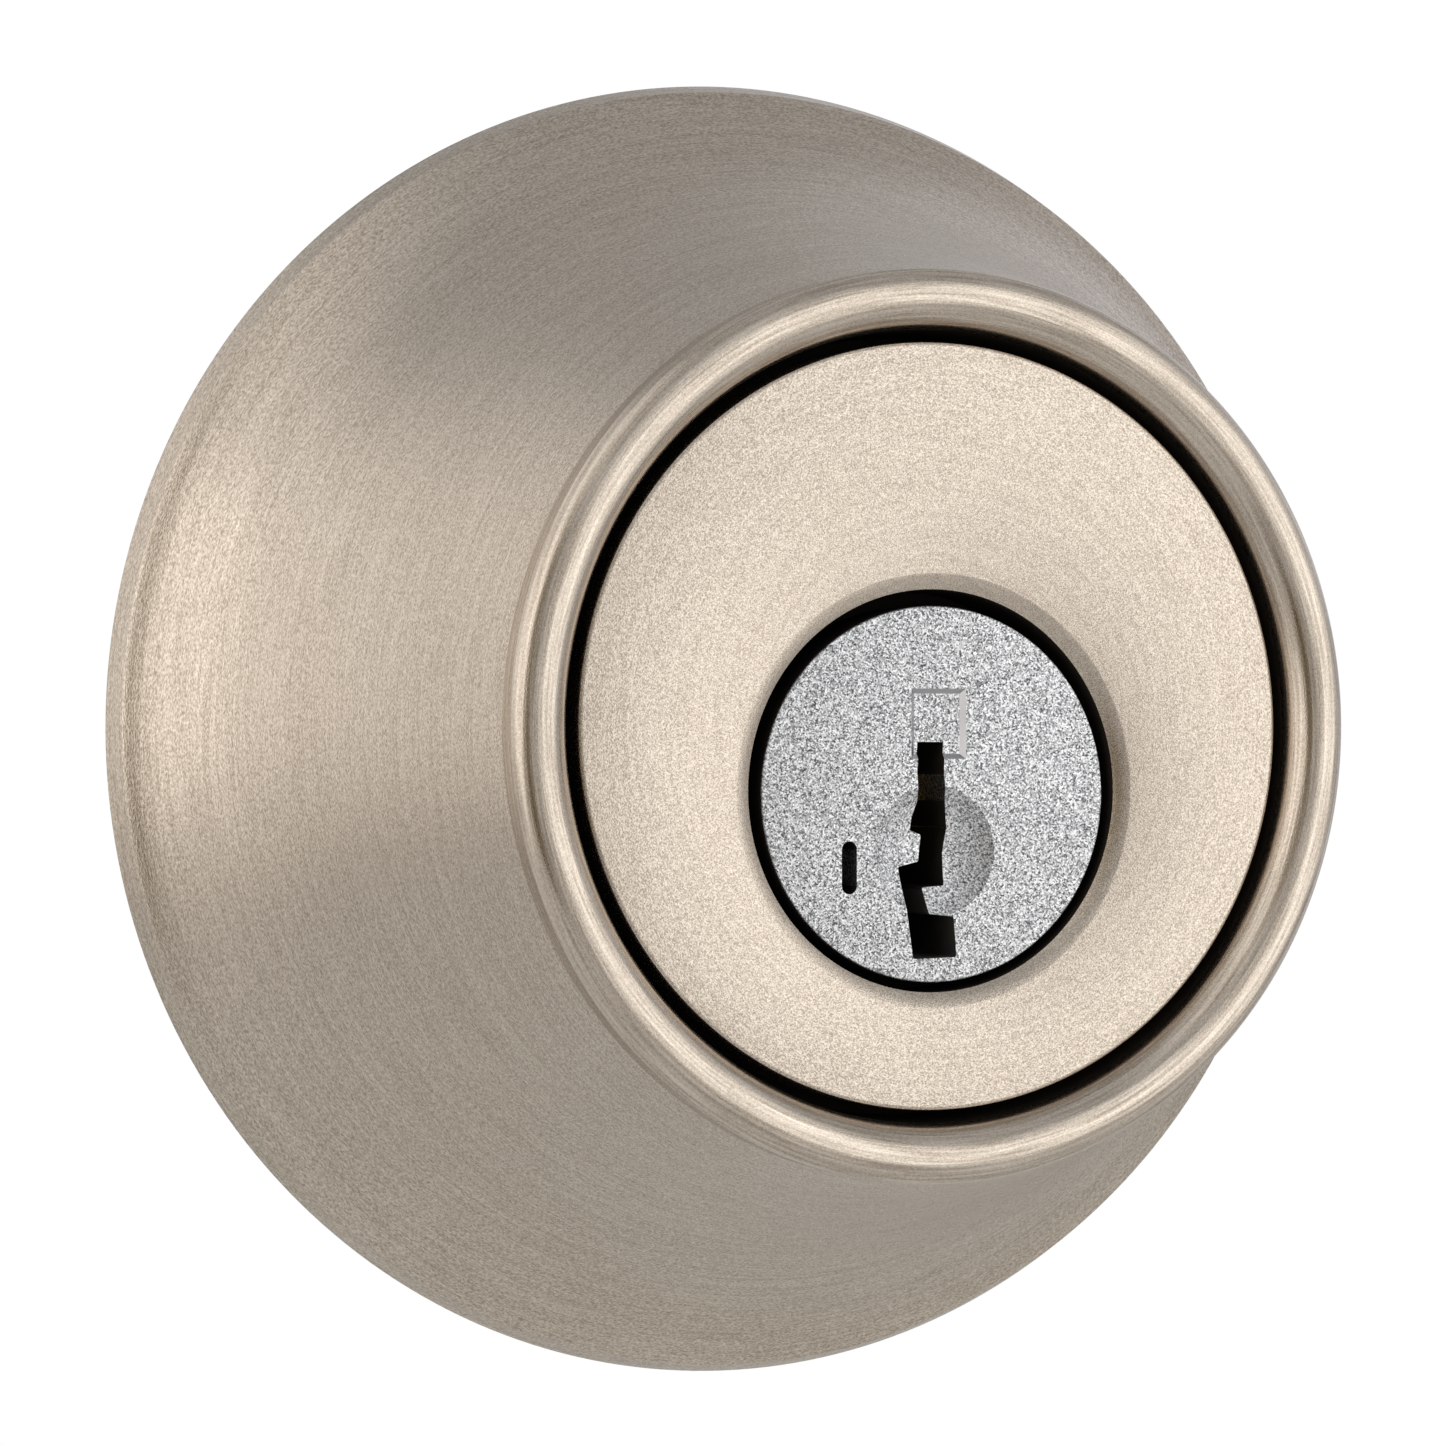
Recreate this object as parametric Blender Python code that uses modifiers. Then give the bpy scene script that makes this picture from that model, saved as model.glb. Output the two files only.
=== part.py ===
"""Keyed outside half of a single-cylinder deadbolt, with its rekeyable cylinder.

The origin is the centre of the collar's back rim, where it meets the door. The
front faces -Y and +Z is up. Every shape is drawn face on, in millimetres: x to
the right, y up and z out of the door, towards the person with the key. Two
empties turn that drawing frame into the world, one on the collar's axis and one
on the plug's, which lies a little lower.
"""

import math

import bmesh
import bpy

MM = 0.001

# Collar: a thin flared guard that spins freely round the cylinder body.
COLLAR_RADIUS = 31.75
RIM_EDGE = (31.23, 1.3)
FLARE_FOOT = (31.08, 1.4)
FLARE_KNEE = (25.0, 4.6)
FLARE_NECK = (20.08, 22.6)
BEAD_CENTRE = (18.77, 23.19)
BEAD_RADIUS = 1.31
THROAT_RADIUS = 17.46
LIP_RADIUS = 15.9
LIP = (17.4, 18.8)
SKIRT_TOP = (20.0, 16.6)
SKIRT_KNEE = (25.2, 2.9)
SKIRT_FOOT = (30.2, 1.25)

# Cylinder body: a die-cast disc, neck, barrel and two screw posts.
DISC_RADIUS = 16.9
DISC_FACE = 23.3
DISC_BACK = 19.1
DISC_EDGE = 0.2
NECK_RADIUS = 15.6
NECK_BACK = 13.4
GROOVE = (14.1, 15.5)
GROOVE_RADIUS = 14.7
BARREL_RADIUS = 10.2
BARREL_BACK = -9.0
POST_SPACING = 24.0
POST_RADIUS = 3.1
POST_BACK = -13.0
SCREW_HOLE_RADIUS = 1.9
SCREW_HOLE_TOP = 6.0

# Plug: turns in the body's bore, on an axis below the collar's.
PLUG_DROP = 3.0
BORE_RADIUS = 8.1
MOUTH_RADIUS = 8.87
MOUTH_BEVEL = 9.6
MOUTH_EDGE = 22.94
MOUTH_FLOOR = 19.5
PLUG_RADIUS = 7.9
FACE_RADIUS = 8.3
FACE = 22.8
FACE_BACK = 19.8
PLUG_WALL_FRONT = 19.0
PLUG_WALL_REAR = -4.4
PLUG_FLOOR = -6.0
PLUG_END = -11.5
SPLIT_X = -1.9
TOOTH_ROOM_X = -1.5

# Pins and racks: five of each, at the key's cut spacing.
PIN_COUNT = 5
PIN_PITCH = 3.81
FIRST_PIN = 16.3
PIN_X = -0.35
PIN_RADIUS = 1.5
PIN_GROOVE_RADIUS = 1.1
PIN_BOTTOM = -4.3
PIN_TOP = 1.7
CHANNEL_RADIUS = 1.62
CHANNEL_FLOOR = -4.6
CAP_FLOOR = 6.95
TOOTH_LEVELS = (1.0, 0.0, -1.0, -2.0)
LIFT = 2.8
RACK_THICKNESS = 1.6
RACK_FACE_X = -2.1
RACK_BACK_X = -4.4
RACK_TIP_X = -1.68
RACK_BOTTOM = -3.8
RACK_TOP = 2.4

# Carrier: the half of the plug that holds the racks and the locking bar.
CARRIER_RADIUS = 7.8
CARRIER_X = -2.15
CARRIER_SPAN = (-1.6, 18.8)
BAR_SPAN = (0.0, 17.4)
BAR_TIP_X = -7.75
BAR_BACK_X = -5.0
BAR_RIB_X = -3.9
BAR_HALF = 1.0
RIB_HALF = 0.45
GATE_X = -3.7

# Rear drive: a torque blade with lost motion against the plug's two lugs.
DRIVE_RADIUS = 6.4
LUG_RADIUS = 4.2
HUB_RADIUS = 3.9
HUB_WING_RADIUS = 6.1
HUB_SPAN = (-10.2, -6.3)
BLADE_RADIUS = 3.1
BLADE_FLAT = 1.2
BLADE_END = -46.0

# Bore adapter: centres the lock in a 54 mm hole in the door.
ADAPTER_RADIUS = 29.4
ADAPTER_THICKNESS = 1.2
ADAPTER_RING = (25.2, 26.9)
ADAPTER_DEPTH = -5.0

FINE = 64
MEDIUM = 40
SMALL = 16

SATIN_NICKEL = ("satin_nickel", (0.60, 0.54, 0.46, 1.0), 1.0, 0.34)
CAST_ZINC = ("cast_zinc", (0.42, 0.42, 0.44, 1.0), 1.0, 0.50)
STEEL = ("spring_steel", (0.50, 0.50, 0.52, 1.0), 1.0, 0.30)
BRASS = ("brass", (0.75, 0.56, 0.25, 1.0), 1.0, 0.32)
PLASTIC = ("black_plastic", (0.03, 0.03, 0.03, 1.0), 0.0, 0.55)


def clear_scene():
    """Remove every object that the file opened with."""
    for obj in list(bpy.data.objects):
        bpy.data.objects.remove(obj, do_unlink=True)


def new_collection(name):
    """Return a new collection under the scene's own."""
    found = bpy.data.collections.new(name)
    bpy.context.scene.collection.children.link(found)
    return found


def new_axis(name, height):
    """Return an empty on an axis along Y, which stands the drawing frame upright."""
    axis = bpy.data.objects.new(name, None)
    axis.location = (0.0, 0.0, height * MM)
    axis.rotation_euler = (math.radians(90.0), 0.0, 0.0)
    PARTS.objects.link(axis)
    return axis


clear_scene()
PARTS = new_collection("deadbolt_outside_half")
TOOLS = new_collection("cutters")
COLLAR_AXIS = new_axis("collar_axis", 0.0)
PLUG_AXIS = new_axis("plug_axis", -PLUG_DROP)


def material(finish):
    """Return the material of a finish: (name, colour, metallic, roughness)."""
    name, colour, metallic, roughness = finish
    found = bpy.data.materials.get(name)
    if found is None:
        found = bpy.data.materials.new(name)
        found.use_nodes = True
        shader = found.node_tree.nodes["Principled BSDF"]
        shader.inputs["Base Color"].default_value = colour
        shader.inputs["Metallic"].default_value = metallic
        shader.inputs["Roughness"].default_value = roughness
    return found


def place(mesh, name, axis, finish=None, at=(0.0, 0.0, 0.0), upright=False):
    """Make an object of a mesh or curve on an axis: a part with a finish, else a cutter."""
    obj = bpy.data.objects.new(name, mesh)
    obj.parent = axis
    obj.location = [value * MM for value in at]
    if upright:
        obj.rotation_euler = (math.radians(-90.0), 0.0, 0.0)
    if finish:
        mesh.materials.append(material(finish))
        PARTS.objects.link(obj)
    else:
        obj.hide_render = True
        obj.display_type = "WIRE"
        TOOLS.objects.link(obj)
    return obj


def smooth(obj):
    """Shade a round piece smooth, with its edges sharp."""
    obj.data.shade_smooth()
    obj.data.set_sharp_from_angle(angle=math.radians(30.0))


def turned(name, profile, axis, finish=None, steps=FINE, **where):
    """Turn a profile of (radius, height), drawn down its outer side, about an axis."""
    mesh = bpy.data.meshes.new(name)
    points = [(radius * MM, 0.0, height * MM) for radius, height in profile]
    closed = profile[0] == profile[-1]
    count = len(points) - 1 if closed else len(points)
    edges = [(i, (i + 1) % count) for i in range(len(points) - 1)]
    mesh.from_pydata(points[:count], edges, [])
    obj = place(mesh, name, axis, finish, **where)
    screw = obj.modifiers.new("Turn", "SCREW")
    screw.axis = "Z"
    screw.steps = steps
    screw.render_steps = steps
    screw.use_merge_vertices = True
    screw.merge_threshold = 0.000001
    screw.use_smooth_shade = False
    return obj


def box(name, low, high, axis, finish=None):
    """Make a box between two corners."""
    mesh = bpy.data.meshes.new(name)
    form = bmesh.new()
    bmesh.ops.create_cube(form, size=1.0)
    for vert in form.verts:
        for i in range(3):
            middle = (low[i] + high[i]) / 2
            vert.co[i] = (middle + vert.co[i] * (high[i] - low[i])) * MM
    form.to_mesh(mesh)
    form.free()
    return place(mesh, name, axis, finish)


def rod(name, radius, low, high, axis, finish=None, steps=MEDIUM, tip=None, **where):
    """Make a cylinder along its own z axis, or a cone with another radius at its top."""
    mesh = bpy.data.meshes.new(name)
    form = bmesh.new()
    top = radius if tip is None else tip
    bmesh.ops.create_cone(
        form,
        cap_ends=True,
        segments=steps,
        radius1=radius * MM,
        radius2=top * MM,
        depth=(high - low) * MM,
    )
    bmesh.ops.translate(form, verts=form.verts, vec=(0.0, 0.0, (low + high) / 2 * MM))
    form.to_mesh(mesh)
    form.free()
    return place(mesh, name, axis, finish, **where)


def flat(name, outline, low, high, axis, finish=None):
    """Extrude a flat outline between two heights and weld it into one closed mesh."""
    curve = bpy.data.curves.new(name, "CURVE")
    curve.dimensions = "2D"
    curve.fill_mode = "BOTH"
    curve.extrude = (high - low) / 2 * MM
    spline = curve.splines.new("POLY")
    spline.points.add(len(outline) - 1)
    for point, (x, y) in zip(spline.points, outline):
        point.co = (x * MM, y * MM, 0.0, 1.0)
    spline.use_cyclic_u = True
    drawn = bpy.data.objects.new(name + "_outline", curve)
    TOOLS.objects.link(drawn)
    bpy.context.view_layer.update()
    graph = bpy.context.evaluated_depsgraph_get()
    mesh = bpy.data.meshes.new_from_object(drawn.evaluated_get(graph))
    bpy.data.objects.remove(drawn, do_unlink=True)
    form = bmesh.new()
    form.from_mesh(mesh)
    bmesh.ops.remove_doubles(form, verts=form.verts, dist=0.000001)
    bmesh.ops.translate(form, verts=form.verts, vec=(0.0, 0.0, (low + high) / 2 * MM))
    bmesh.ops.recalc_face_normals(form, faces=form.faces)
    form.to_mesh(mesh)
    form.free()
    mesh.name = name
    return place(mesh, name, axis, finish)


def combine(obj, operation, *others):
    """Cut, join or intersect an object with others, in order."""
    for other in others:
        step = obj.modifiers.new(operation.title(), "BOOLEAN")
        step.operation = operation
        step.solver = "EXACT"
        step.object = other
    return obj


def cut(obj, *others):
    """Take the others away from an object."""
    return combine(obj, "DIFFERENCE", *others)


def join(obj, *others):
    """Add the others to an object."""
    return combine(obj, "UNION", *others)


def ring_arc(radius, start, end, steps):
    """Return the points of an arc about the origin, from one angle to another."""
    angles = [math.radians(start + (end - start) * i / steps) for i in range(steps + 1)]
    return [(radius * math.cos(a), radius * math.sin(a)) for a in angles]


def shifted(points, x, y):
    """Return points moved by x and y."""
    return [(px + x, py + y) for px, py in points]


def swept(start, knee, end, steps):
    """Return the points of a curve whose two end tangents meet at a knee."""
    points = []
    for i in range(steps + 1):
        t = i / steps
        weights = ((1.0 - t) ** 2, 2.0 * t * (1.0 - t), t * t)
        points.append(tuple(sum(w * p[axis] for w, p in zip(weights, (start, knee, end))) for axis in (0, 1)))
    return points


def coil(name, radius, wire, low, high, turns, axis, finish, **where):
    """Make a coil spring along its own z axis, from a helix worked out point by point."""
    per_turn = 7
    count = int(turns * per_turn) + 1
    curve = bpy.data.curves.new(name, "CURVE")
    curve.dimensions = "3D"
    curve.bevel_depth = wire * MM
    curve.bevel_resolution = 1
    curve.use_fill_caps = True
    spline = curve.splines.new("POLY")
    spline.points.add(count - 1)
    for i, point in enumerate(spline.points):
        angle = 2.0 * math.pi * i / per_turn
        height = low + wire + (high - low - 2.0 * wire) * i / (count - 1)
        point.co = (radius * math.cos(angle) * MM, radius * math.sin(angle) * MM, height * MM, 1.0)
    return place(curve, name, axis, finish, **where)


def pin_station(number):
    """Return the height of pin or rack 1 to 5, counted from the face."""
    return FIRST_PIN - PIN_PITCH * (number - 1)


def make_collar():
    """The flared guard: bead, hollow flare, rim, and a lip inside its throat."""
    bead = shifted(ring_arc(BEAD_RADIUS, 180.0, 0.0, 6), *BEAD_CENTRE)
    profile = list(bead)
    profile += swept(FLARE_NECK, FLARE_KNEE, FLARE_FOOT, 8)
    profile += [RIM_EDGE, (COLLAR_RADIUS, 0.0), (SKIRT_FOOT[0], 0.0)]
    profile += swept(SKIRT_FOOT, SKIRT_KNEE, SKIRT_TOP, 5)
    profile += [(SKIRT_TOP[0] - 0.7, LIP[0]), (LIP_RADIUS, LIP[0]), (LIP_RADIUS, LIP[1])]
    profile += [(THROAT_RADIUS, LIP[1]), bead[0]]
    smooth(turned("collar", profile, COLLAR_AXIS, SATIN_NICKEL))


def make_body():
    """The cast body: disc, grooved neck, barrel, posts, bore and locking grooves."""
    profile = [(0.0, DISC_FACE), (DISC_RADIUS - DISC_EDGE, DISC_FACE)]
    profile += [(DISC_RADIUS, DISC_FACE - DISC_EDGE), (DISC_RADIUS, DISC_BACK)]
    profile += [(NECK_RADIUS, DISC_BACK), (NECK_RADIUS, GROOVE[1])]
    profile += [(GROOVE_RADIUS, GROOVE[1]), (GROOVE_RADIUS, GROOVE[0])]
    profile += [(NECK_RADIUS, GROOVE[0]), (NECK_RADIUS, NECK_BACK), (0.0, NECK_BACK)]
    body = turned("cylinder_body", profile, COLLAR_AXIS, SATIN_NICKEL)
    join(body, rod("barrel", BARREL_RADIUS, BARREL_BACK, NECK_BACK + 0.4, PLUG_AXIS))
    for side in (-1, 1):
        centre = (side * POST_SPACING / 2, 0.0, 0.0)
        join(body, rod("post", POST_RADIUS, POST_BACK, NECK_BACK + 0.4, PLUG_AXIS, steps=SMALL, at=centre))
        reach = (POST_BACK - 1.0, SCREW_HOLE_TOP)
        hole = rod("hole", SCREW_HOLE_RADIUS, *reach, PLUG_AXIS, steps=SMALL, at=centre)
        cut(body, hole)
    flare = (MOUTH_BEVEL - MOUTH_RADIUS) / (DISC_FACE - MOUTH_EDGE)
    bore = [(0.0, DISC_FACE + 1.0), (MOUTH_BEVEL + flare, DISC_FACE + 1.0), (MOUTH_RADIUS, MOUTH_EDGE)]
    bore += [(MOUTH_RADIUS, MOUTH_FLOOR), (BORE_RADIUS, MOUTH_FLOOR)]
    bore += [(BORE_RADIUS, BARREL_BACK - 1.0), (0.0, BARREL_BACK - 1.0)]
    cut(body, turned("bore", bore, PLUG_AXIS, steps=FINE))
    for angle in (90.0, 180.0, 270.0):
        spot = ring_arc(BORE_RADIUS - 0.35, angle, angle, 1)[0]
        cut(body, rod("locking_groove", 1.2, -2.6, 18.6, PLUG_AXIS, steps=4, at=(*spot, 0.0)))


def make_collar_retainer():
    """The snap ring in the body's groove and the wave washer that steadies the collar."""
    ring = flat("snap_ring", c_ring(14.9, 17.3, 12.0, 28), 14.3, 15.3, COLLAR_AXIS, STEEL)
    for angle in (-76.0, -104.0):
        centre = ring_arc(16.9, angle, angle, 1)[0]
        join(ring, rod("ear", 1.5, 14.3, 15.3, COLLAR_AXIS, steps=SMALL, at=(*centre, 0.0)))
        cut(ring, rod("ear_hole", 0.6, 13.0, 16.5, COLLAR_AXIS, steps=12, at=(*centre, 0.0)))
    wave, middle, half = 0.5, 16.4, 0.15
    profile = [(15.8, half), (18.5, half), (18.5, -half), (15.8, -half), (15.8, half)]
    washer = turned("friction_washer", profile, COLLAR_AXIS, STEEL, steps=MEDIUM)
    bpy.context.view_layer.update()
    graph = bpy.context.evaluated_depsgraph_get()
    mesh = bpy.data.meshes.new_from_object(washer.evaluated_get(graph))
    washer.modifiers.clear()
    for vert in mesh.vertices:
        angle = math.atan2(vert.co.y, vert.co.x)
        vert.co.z += (middle + wave * math.cos(4.0 * angle)) * MM
    washer.data = mesh


def c_ring(inner, outer, gap, steps):
    """Return the outline of an open ring whose gap, in degrees to each side, is at the bottom."""
    start, end = -90.0 + gap, 270.0 - gap
    return ring_arc(outer, start, end, steps) + ring_arc(inner, end, start, steps)


def make_adapter():
    """The plate behind the collar, with the ring that fills the hole in the door."""
    inner, outer = ADAPTER_RING
    profile = [(0.0, ADAPTER_THICKNESS), (ADAPTER_RADIUS, ADAPTER_THICKNESS), (ADAPTER_RADIUS, 0.0)]
    profile += [(outer, 0.0), (outer, ADAPTER_DEPTH), (inner, ADAPTER_DEPTH), (inner, 0.0), (0.0, 0.0)]
    plate = turned("bore_adapter", profile, COLLAR_AXIS, PLASTIC, steps=48)
    cut(plate, rod("barrel_hole", BARREL_RADIUS + 0.4, -2.0, 3.0, PLUG_AXIS))
    for side in (-1, 1):
        centre = (side * POST_SPACING / 2, 0.0, 0.0)
        cut(plate, rod("post_hole", POST_RADIUS + 0.4, -2.0, 3.0, PLUG_AXIS, steps=SMALL, at=centre))


def keyway_outline():
    """Return the key slot's warded outline, clockwise from its top left corner."""
    right = [(0.50, 2.3), (0.45, 0.9), (0.60, -0.3), (0.80, -1.5), (0.63, -2.6), (0.63, -4.05)]
    right += [(-0.45, -4.12), (-0.25, -5.28), (0.92, -5.4), (1.06, -7.2)]
    left = [(-1.05, -7.25), (-1.62, -3.2), (-0.55, -2.98), (-0.42, -1.8), (-1.00, -1.6)]
    left += [(-0.95, -1.0), (-0.75, -0.3), (-0.85, 0.9), (-0.75, 2.3)]
    return right + left


def slot_outline(x, y, width, height):
    """Return the outline of an upright slot with round ends."""
    half, rise = width / 2, (height - width) / 2
    top = shifted(ring_arc(half, 0.0, 180.0, 6), x, y + rise)
    bottom = shifted(ring_arc(half, 180.0, 360.0, 6), x, y - rise)
    return top + bottom


def bow_tie(wide, narrow, half_angle):
    """Return an outline of one radius in two facing sectors, and a smaller one between."""
    points = []
    for middle in (0.0, 180.0):
        points += ring_arc(wide, middle - half_angle, middle + half_angle, 6)
        points += ring_arc(narrow, middle + half_angle, middle + 180.0 - half_angle, 6)
    return points


def make_plug():
    """The plug: its face, keyway, pin channels, side cavity and rear drive cup."""
    profile = [(0.0, FACE), (FACE_RADIUS - 0.12, FACE), (FACE_RADIUS, FACE - 0.12)]
    profile += [(FACE_RADIUS, FACE_BACK), (PLUG_RADIUS, FACE_BACK), (PLUG_RADIUS, -9.15)]
    profile += [(7.0, -9.15), (7.0, -10.2), (PLUG_RADIUS, -10.2), (PLUG_RADIUS, PLUG_END), (0.0, PLUG_END)]
    plug = turned("plug", profile, PLUG_AXIS, CAST_ZINC, steps=MEDIUM)
    cut(plug, box("side_cavity", (-9, -9, PLUG_WALL_REAR), (SPLIT_X, 9, PLUG_WALL_FRONT), PLUG_AXIS))
    cut(plug, box("tooth_room", (-3, -3, PLUG_WALL_REAR), (TOOTH_ROOM_X, 5.5, PLUG_WALL_FRONT), PLUG_AXIS))
    cut(plug, flat("keyway", keyway_outline(), -3.0, FACE + 1.0, PLUG_AXIS))
    for number in range(1, PIN_COUNT + 1):
        at = (PIN_X, 0.0, pin_station(number))
        reach = (CHANNEL_FLOOR, 9.0)
        channel = rod("channel", CHANNEL_RADIUS, *reach, PLUG_AXIS, steps=SMALL, at=at, upright=True)
        cut(plug, channel)
    cut(plug, box("cap_seat", (-3.0, CAP_FLOOR, -1.2), (1.4, 9.0, 18.6), PLUG_AXIS))
    cup = bow_tie(DRIVE_RADIUS, LUG_RADIUS, 67.5)
    cut(plug, flat("drive_cup", cup, PLUG_END - 1.0, PLUG_FLOOR, PLUG_AXIS))
    cut(plug, rod("cup_mouth", 6.5, PLUG_END - 1.0, -10.4, PLUG_AXIS))
    cut(plug, rod("spring_seat", 1.35, -5.2, -4.0, PLUG_AXIS, steps=SMALL, at=(-4.2, -4.6, 0.0)))
    cut(plug, flat("tool_slot", slot_outline(-4.12, -3.2, 0.72, 2.32), 18.5, FACE + 1.0, PLUG_AXIS))
    cut(plug, box("square_recess", (-1.13, 1.55, FACE - 0.25), (1.53, 4.65, FACE + 1.0), PLUG_AXIS))
    dimple = rod("dimple", 0.6, FACE - 0.5, FACE + 0.2, PLUG_AXIS, steps=24, tip=3.82, at=(0.0, -2.5, 0.0))
    cut(plug, dimple)
    drill_pin = (4.4, 0.0, 17.9)
    cut(plug, rod("drill_pin_hole", 1.1, -4.5, 9.0, PLUG_AXIS, steps=SMALL, at=drill_pin, upright=True))
    rod("anti_drill_pin", 0.95, -4.3, 6.0, PLUG_AXIS, STEEL, steps=SMALL, at=drill_pin, upright=True)
    drill_ball = (-4.6, 3.4, 0.0)
    cut(plug, rod("ball_hole", 1.4, 18.0, 21.6, PLUG_AXIS, steps=SMALL, at=drill_ball))
    steps = 8
    turns = [math.pi * i / steps for i in range(steps + 1)]
    ball = [(1.2 * math.sin(turn), 1.2 * math.cos(turn)) for turn in turns]
    ball[0], ball[-1] = (0.0, 1.2), (0.0, -1.2)
    smooth(turned("anti_drill_ball", ball, PLUG_AXIS, STEEL, steps=SMALL, at=(-4.6, 3.4, 20.3)))
    flat("plug_clip", c_ring(7.2, 8.7, 35.0, 20), -10.05, -9.3, PLUG_AXIS, STEEL)


def make_pins():
    """Five ringed pins, each on its own axis, with a spring above it, and their cap."""
    for number in range(1, PIN_COUNT + 1):
        at = (PIN_X, 0.0, pin_station(number))
        profile = [(0.0, PIN_TOP), (PIN_RADIUS - 0.15, PIN_TOP), (PIN_RADIUS, PIN_TOP - 0.15)]
        for level in TOOTH_LEVELS:
            profile += [(PIN_RADIUS, level + 0.35), (PIN_GROOVE_RADIUS, level + 0.2)]
            profile += [(PIN_GROOVE_RADIUS, level - 0.2), (PIN_RADIUS, level - 0.35)]
        profile += [(PIN_RADIUS, -3.3), (0.6, PIN_BOTTOM), (0.0, PIN_BOTTOM)]
        turned(f"pin_{number}", profile, PLUG_AXIS, BRASS, steps=12, at=at, upright=True)
        spring = (f"pin_spring_{number}", 1.15, 0.16, PIN_TOP + 0.05, CAP_FLOOR - 0.05, 5)
        coil(*spring, PLUG_AXIS, STEEL, at=at, upright=True)
    cap = rod("pin_cap", CARRIER_RADIUS, -1.0, 18.4, PLUG_AXIS, CAST_ZINC, steps=FINE)
    combine(cap, "INTERSECT", box("cap_bounds", (-1.8, CAP_FLOOR + 0.1, -2.0), (1.2, 9.0, 19.0), PLUG_AXIS))


def rack_outline():
    """Return a rack's outline: teeth towards the pin, a long gate towards the bar."""
    points = [(RACK_BACK_X, RACK_TOP), (RACK_FACE_X, RACK_TOP)]
    for level in TOOTH_LEVELS:
        points += [(RACK_FACE_X, level + 0.3), (RACK_TIP_X, level + 0.12)]
        points += [(RACK_TIP_X, level - 0.12), (RACK_FACE_X, level - 0.3)]
    points += [(RACK_FACE_X, RACK_BOTTOM), (RACK_BACK_X, RACK_BOTTOM)]
    gate_low, gate_high = -LIFT - RIB_HALF - 0.15, RIB_HALF + 0.15
    points += [(RACK_BACK_X, gate_low), (GATE_X, gate_low), (GATE_X, gate_high), (RACK_BACK_X, gate_high)]
    return points


def make_carrier():
    """The carrier with its racks, locking bar and springs."""
    low, high = CARRIER_SPAN
    carrier = rod("carrier", CARRIER_RADIUS, low, high, PLUG_AXIS, CAST_ZINC, steps=FINE)
    cut(carrier, box("carrier_flat", (CARRIER_X, -9, low - 1), (9, 9, high + 1), PLUG_AXIS))
    half = RACK_THICKNESS / 2
    for number in range(1, PIN_COUNT + 1):
        station = pin_station(number)
        slot = box("rack_slot", (-4.7, -4.1, station - 0.95), (-1.0, 5.6, station + 0.95), PLUG_AXIS)
        cut(carrier, slot)
        flat(f"rack_{number}", rack_outline(), station - half, station + half, PLUG_AXIS, STEEL)
    cut(carrier, box("bar_slot", (-9.0, -1.15, -0.2), (-4.75, 1.15, 17.6), PLUG_AXIS))
    cut(carrier, box("rib_slot", (-5.0, -0.6, -0.2), (-3.6, 0.6, 17.6), PLUG_AXIS))
    cut(carrier, rod("carrier_spring_seat", 1.35, -3.0, -0.3, PLUG_AXIS, steps=SMALL, at=(-4.2, -4.6, 0.0)))
    half_bar, half_rib = BAR_HALF, RIB_HALF
    upper = [(BAR_TIP_X, 0.0), (BAR_TIP_X + half_bar, half_bar), (BAR_BACK_X, half_bar)]
    upper += [(BAR_BACK_X, half_rib), (BAR_RIB_X, half_rib)]
    outline = upper + [(x, -y) for x, y in reversed(upper[1:])]
    bar = flat("locking_bar", outline, *BAR_SPAN, PLUG_AXIS, BRASS)
    for number, first in ((1, 1), (2, 4)):
        middle = (pin_station(first) + pin_station(first + 1)) / 2
        low, high = (BAR_BACK_X + 0.001, -1.0, middle - 0.9), (-3.0, 1.0, middle + 0.9)
        notch = box("rib_notch", low, high, PLUG_AXIS)
        cut(bar, notch)
        seat = rod("bar_spring_seat", 0.75, -5.2, -2.75, PLUG_AXIS, steps=SMALL, at=(0.0, 0.0, middle))
        seat.rotation_euler = (0.0, math.radians(90.0), 0.0)
        cut(carrier, seat)
        name, at = f"bar_spring_{number}", (0.0, 0.0, middle)
        spring = coil(name, 0.5, 0.11, -4.9, -2.8, 5, PLUG_AXIS, STEEL, at=at)
        spring.rotation_euler = (0.0, math.radians(90.0), 0.0)
    coil("carrier_spring", 1.0, 0.16, -5.1, -0.4, 5, PLUG_AXIS, STEEL, at=(-4.2, -4.6, 0.0))


def make_blade():
    """The torque blade: a hub with two wings and a bar of D section, and its cap."""
    low, high = HUB_SPAN
    blade = flat("torque_blade", bow_tie(HUB_WING_RADIUS, HUB_RADIUS, 21.5), low, high, PLUG_AXIS, STEEL)
    flat_angle = math.degrees(math.acos(BLADE_FLAT / BLADE_RADIUS))
    section = ring_arc(BLADE_RADIUS, flat_angle, 360.0 - flat_angle, 14)
    join(blade, flat("blade_bar", section, BLADE_END, high - 1.0, PLUG_AXIS))
    profile = [(3.5, -10.6), (6.25, -10.6), (6.25, -11.3), (3.5, -11.3), (3.5, -10.6)]
    turned("blade_cap", profile, PLUG_AXIS, STEEL, steps=32)


def main():
    """Build every piece of the lock."""
    make_collar()
    make_body()
    make_collar_retainer()
    make_adapter()
    make_plug()
    make_pins()
    make_carrier()
    make_blade()
    bpy.context.view_layer.update()


main()
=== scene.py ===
"""Looks of the keyed outside half of a deadbolt lock.

Every shape is drawn face on, in millimetres: x to the right, y up and z out of
the door, from the middle of the collar or of the plug. Facing.matrix() then
stands it where the frame holds that axis, in metres.
"""

import logging
import math
from dataclasses import dataclass
from enum import Enum
from functools import cache
from typing import Any, Iterable, Sequence

import bmesh
import bpy
from mathutils import Matrix, Vector


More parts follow.
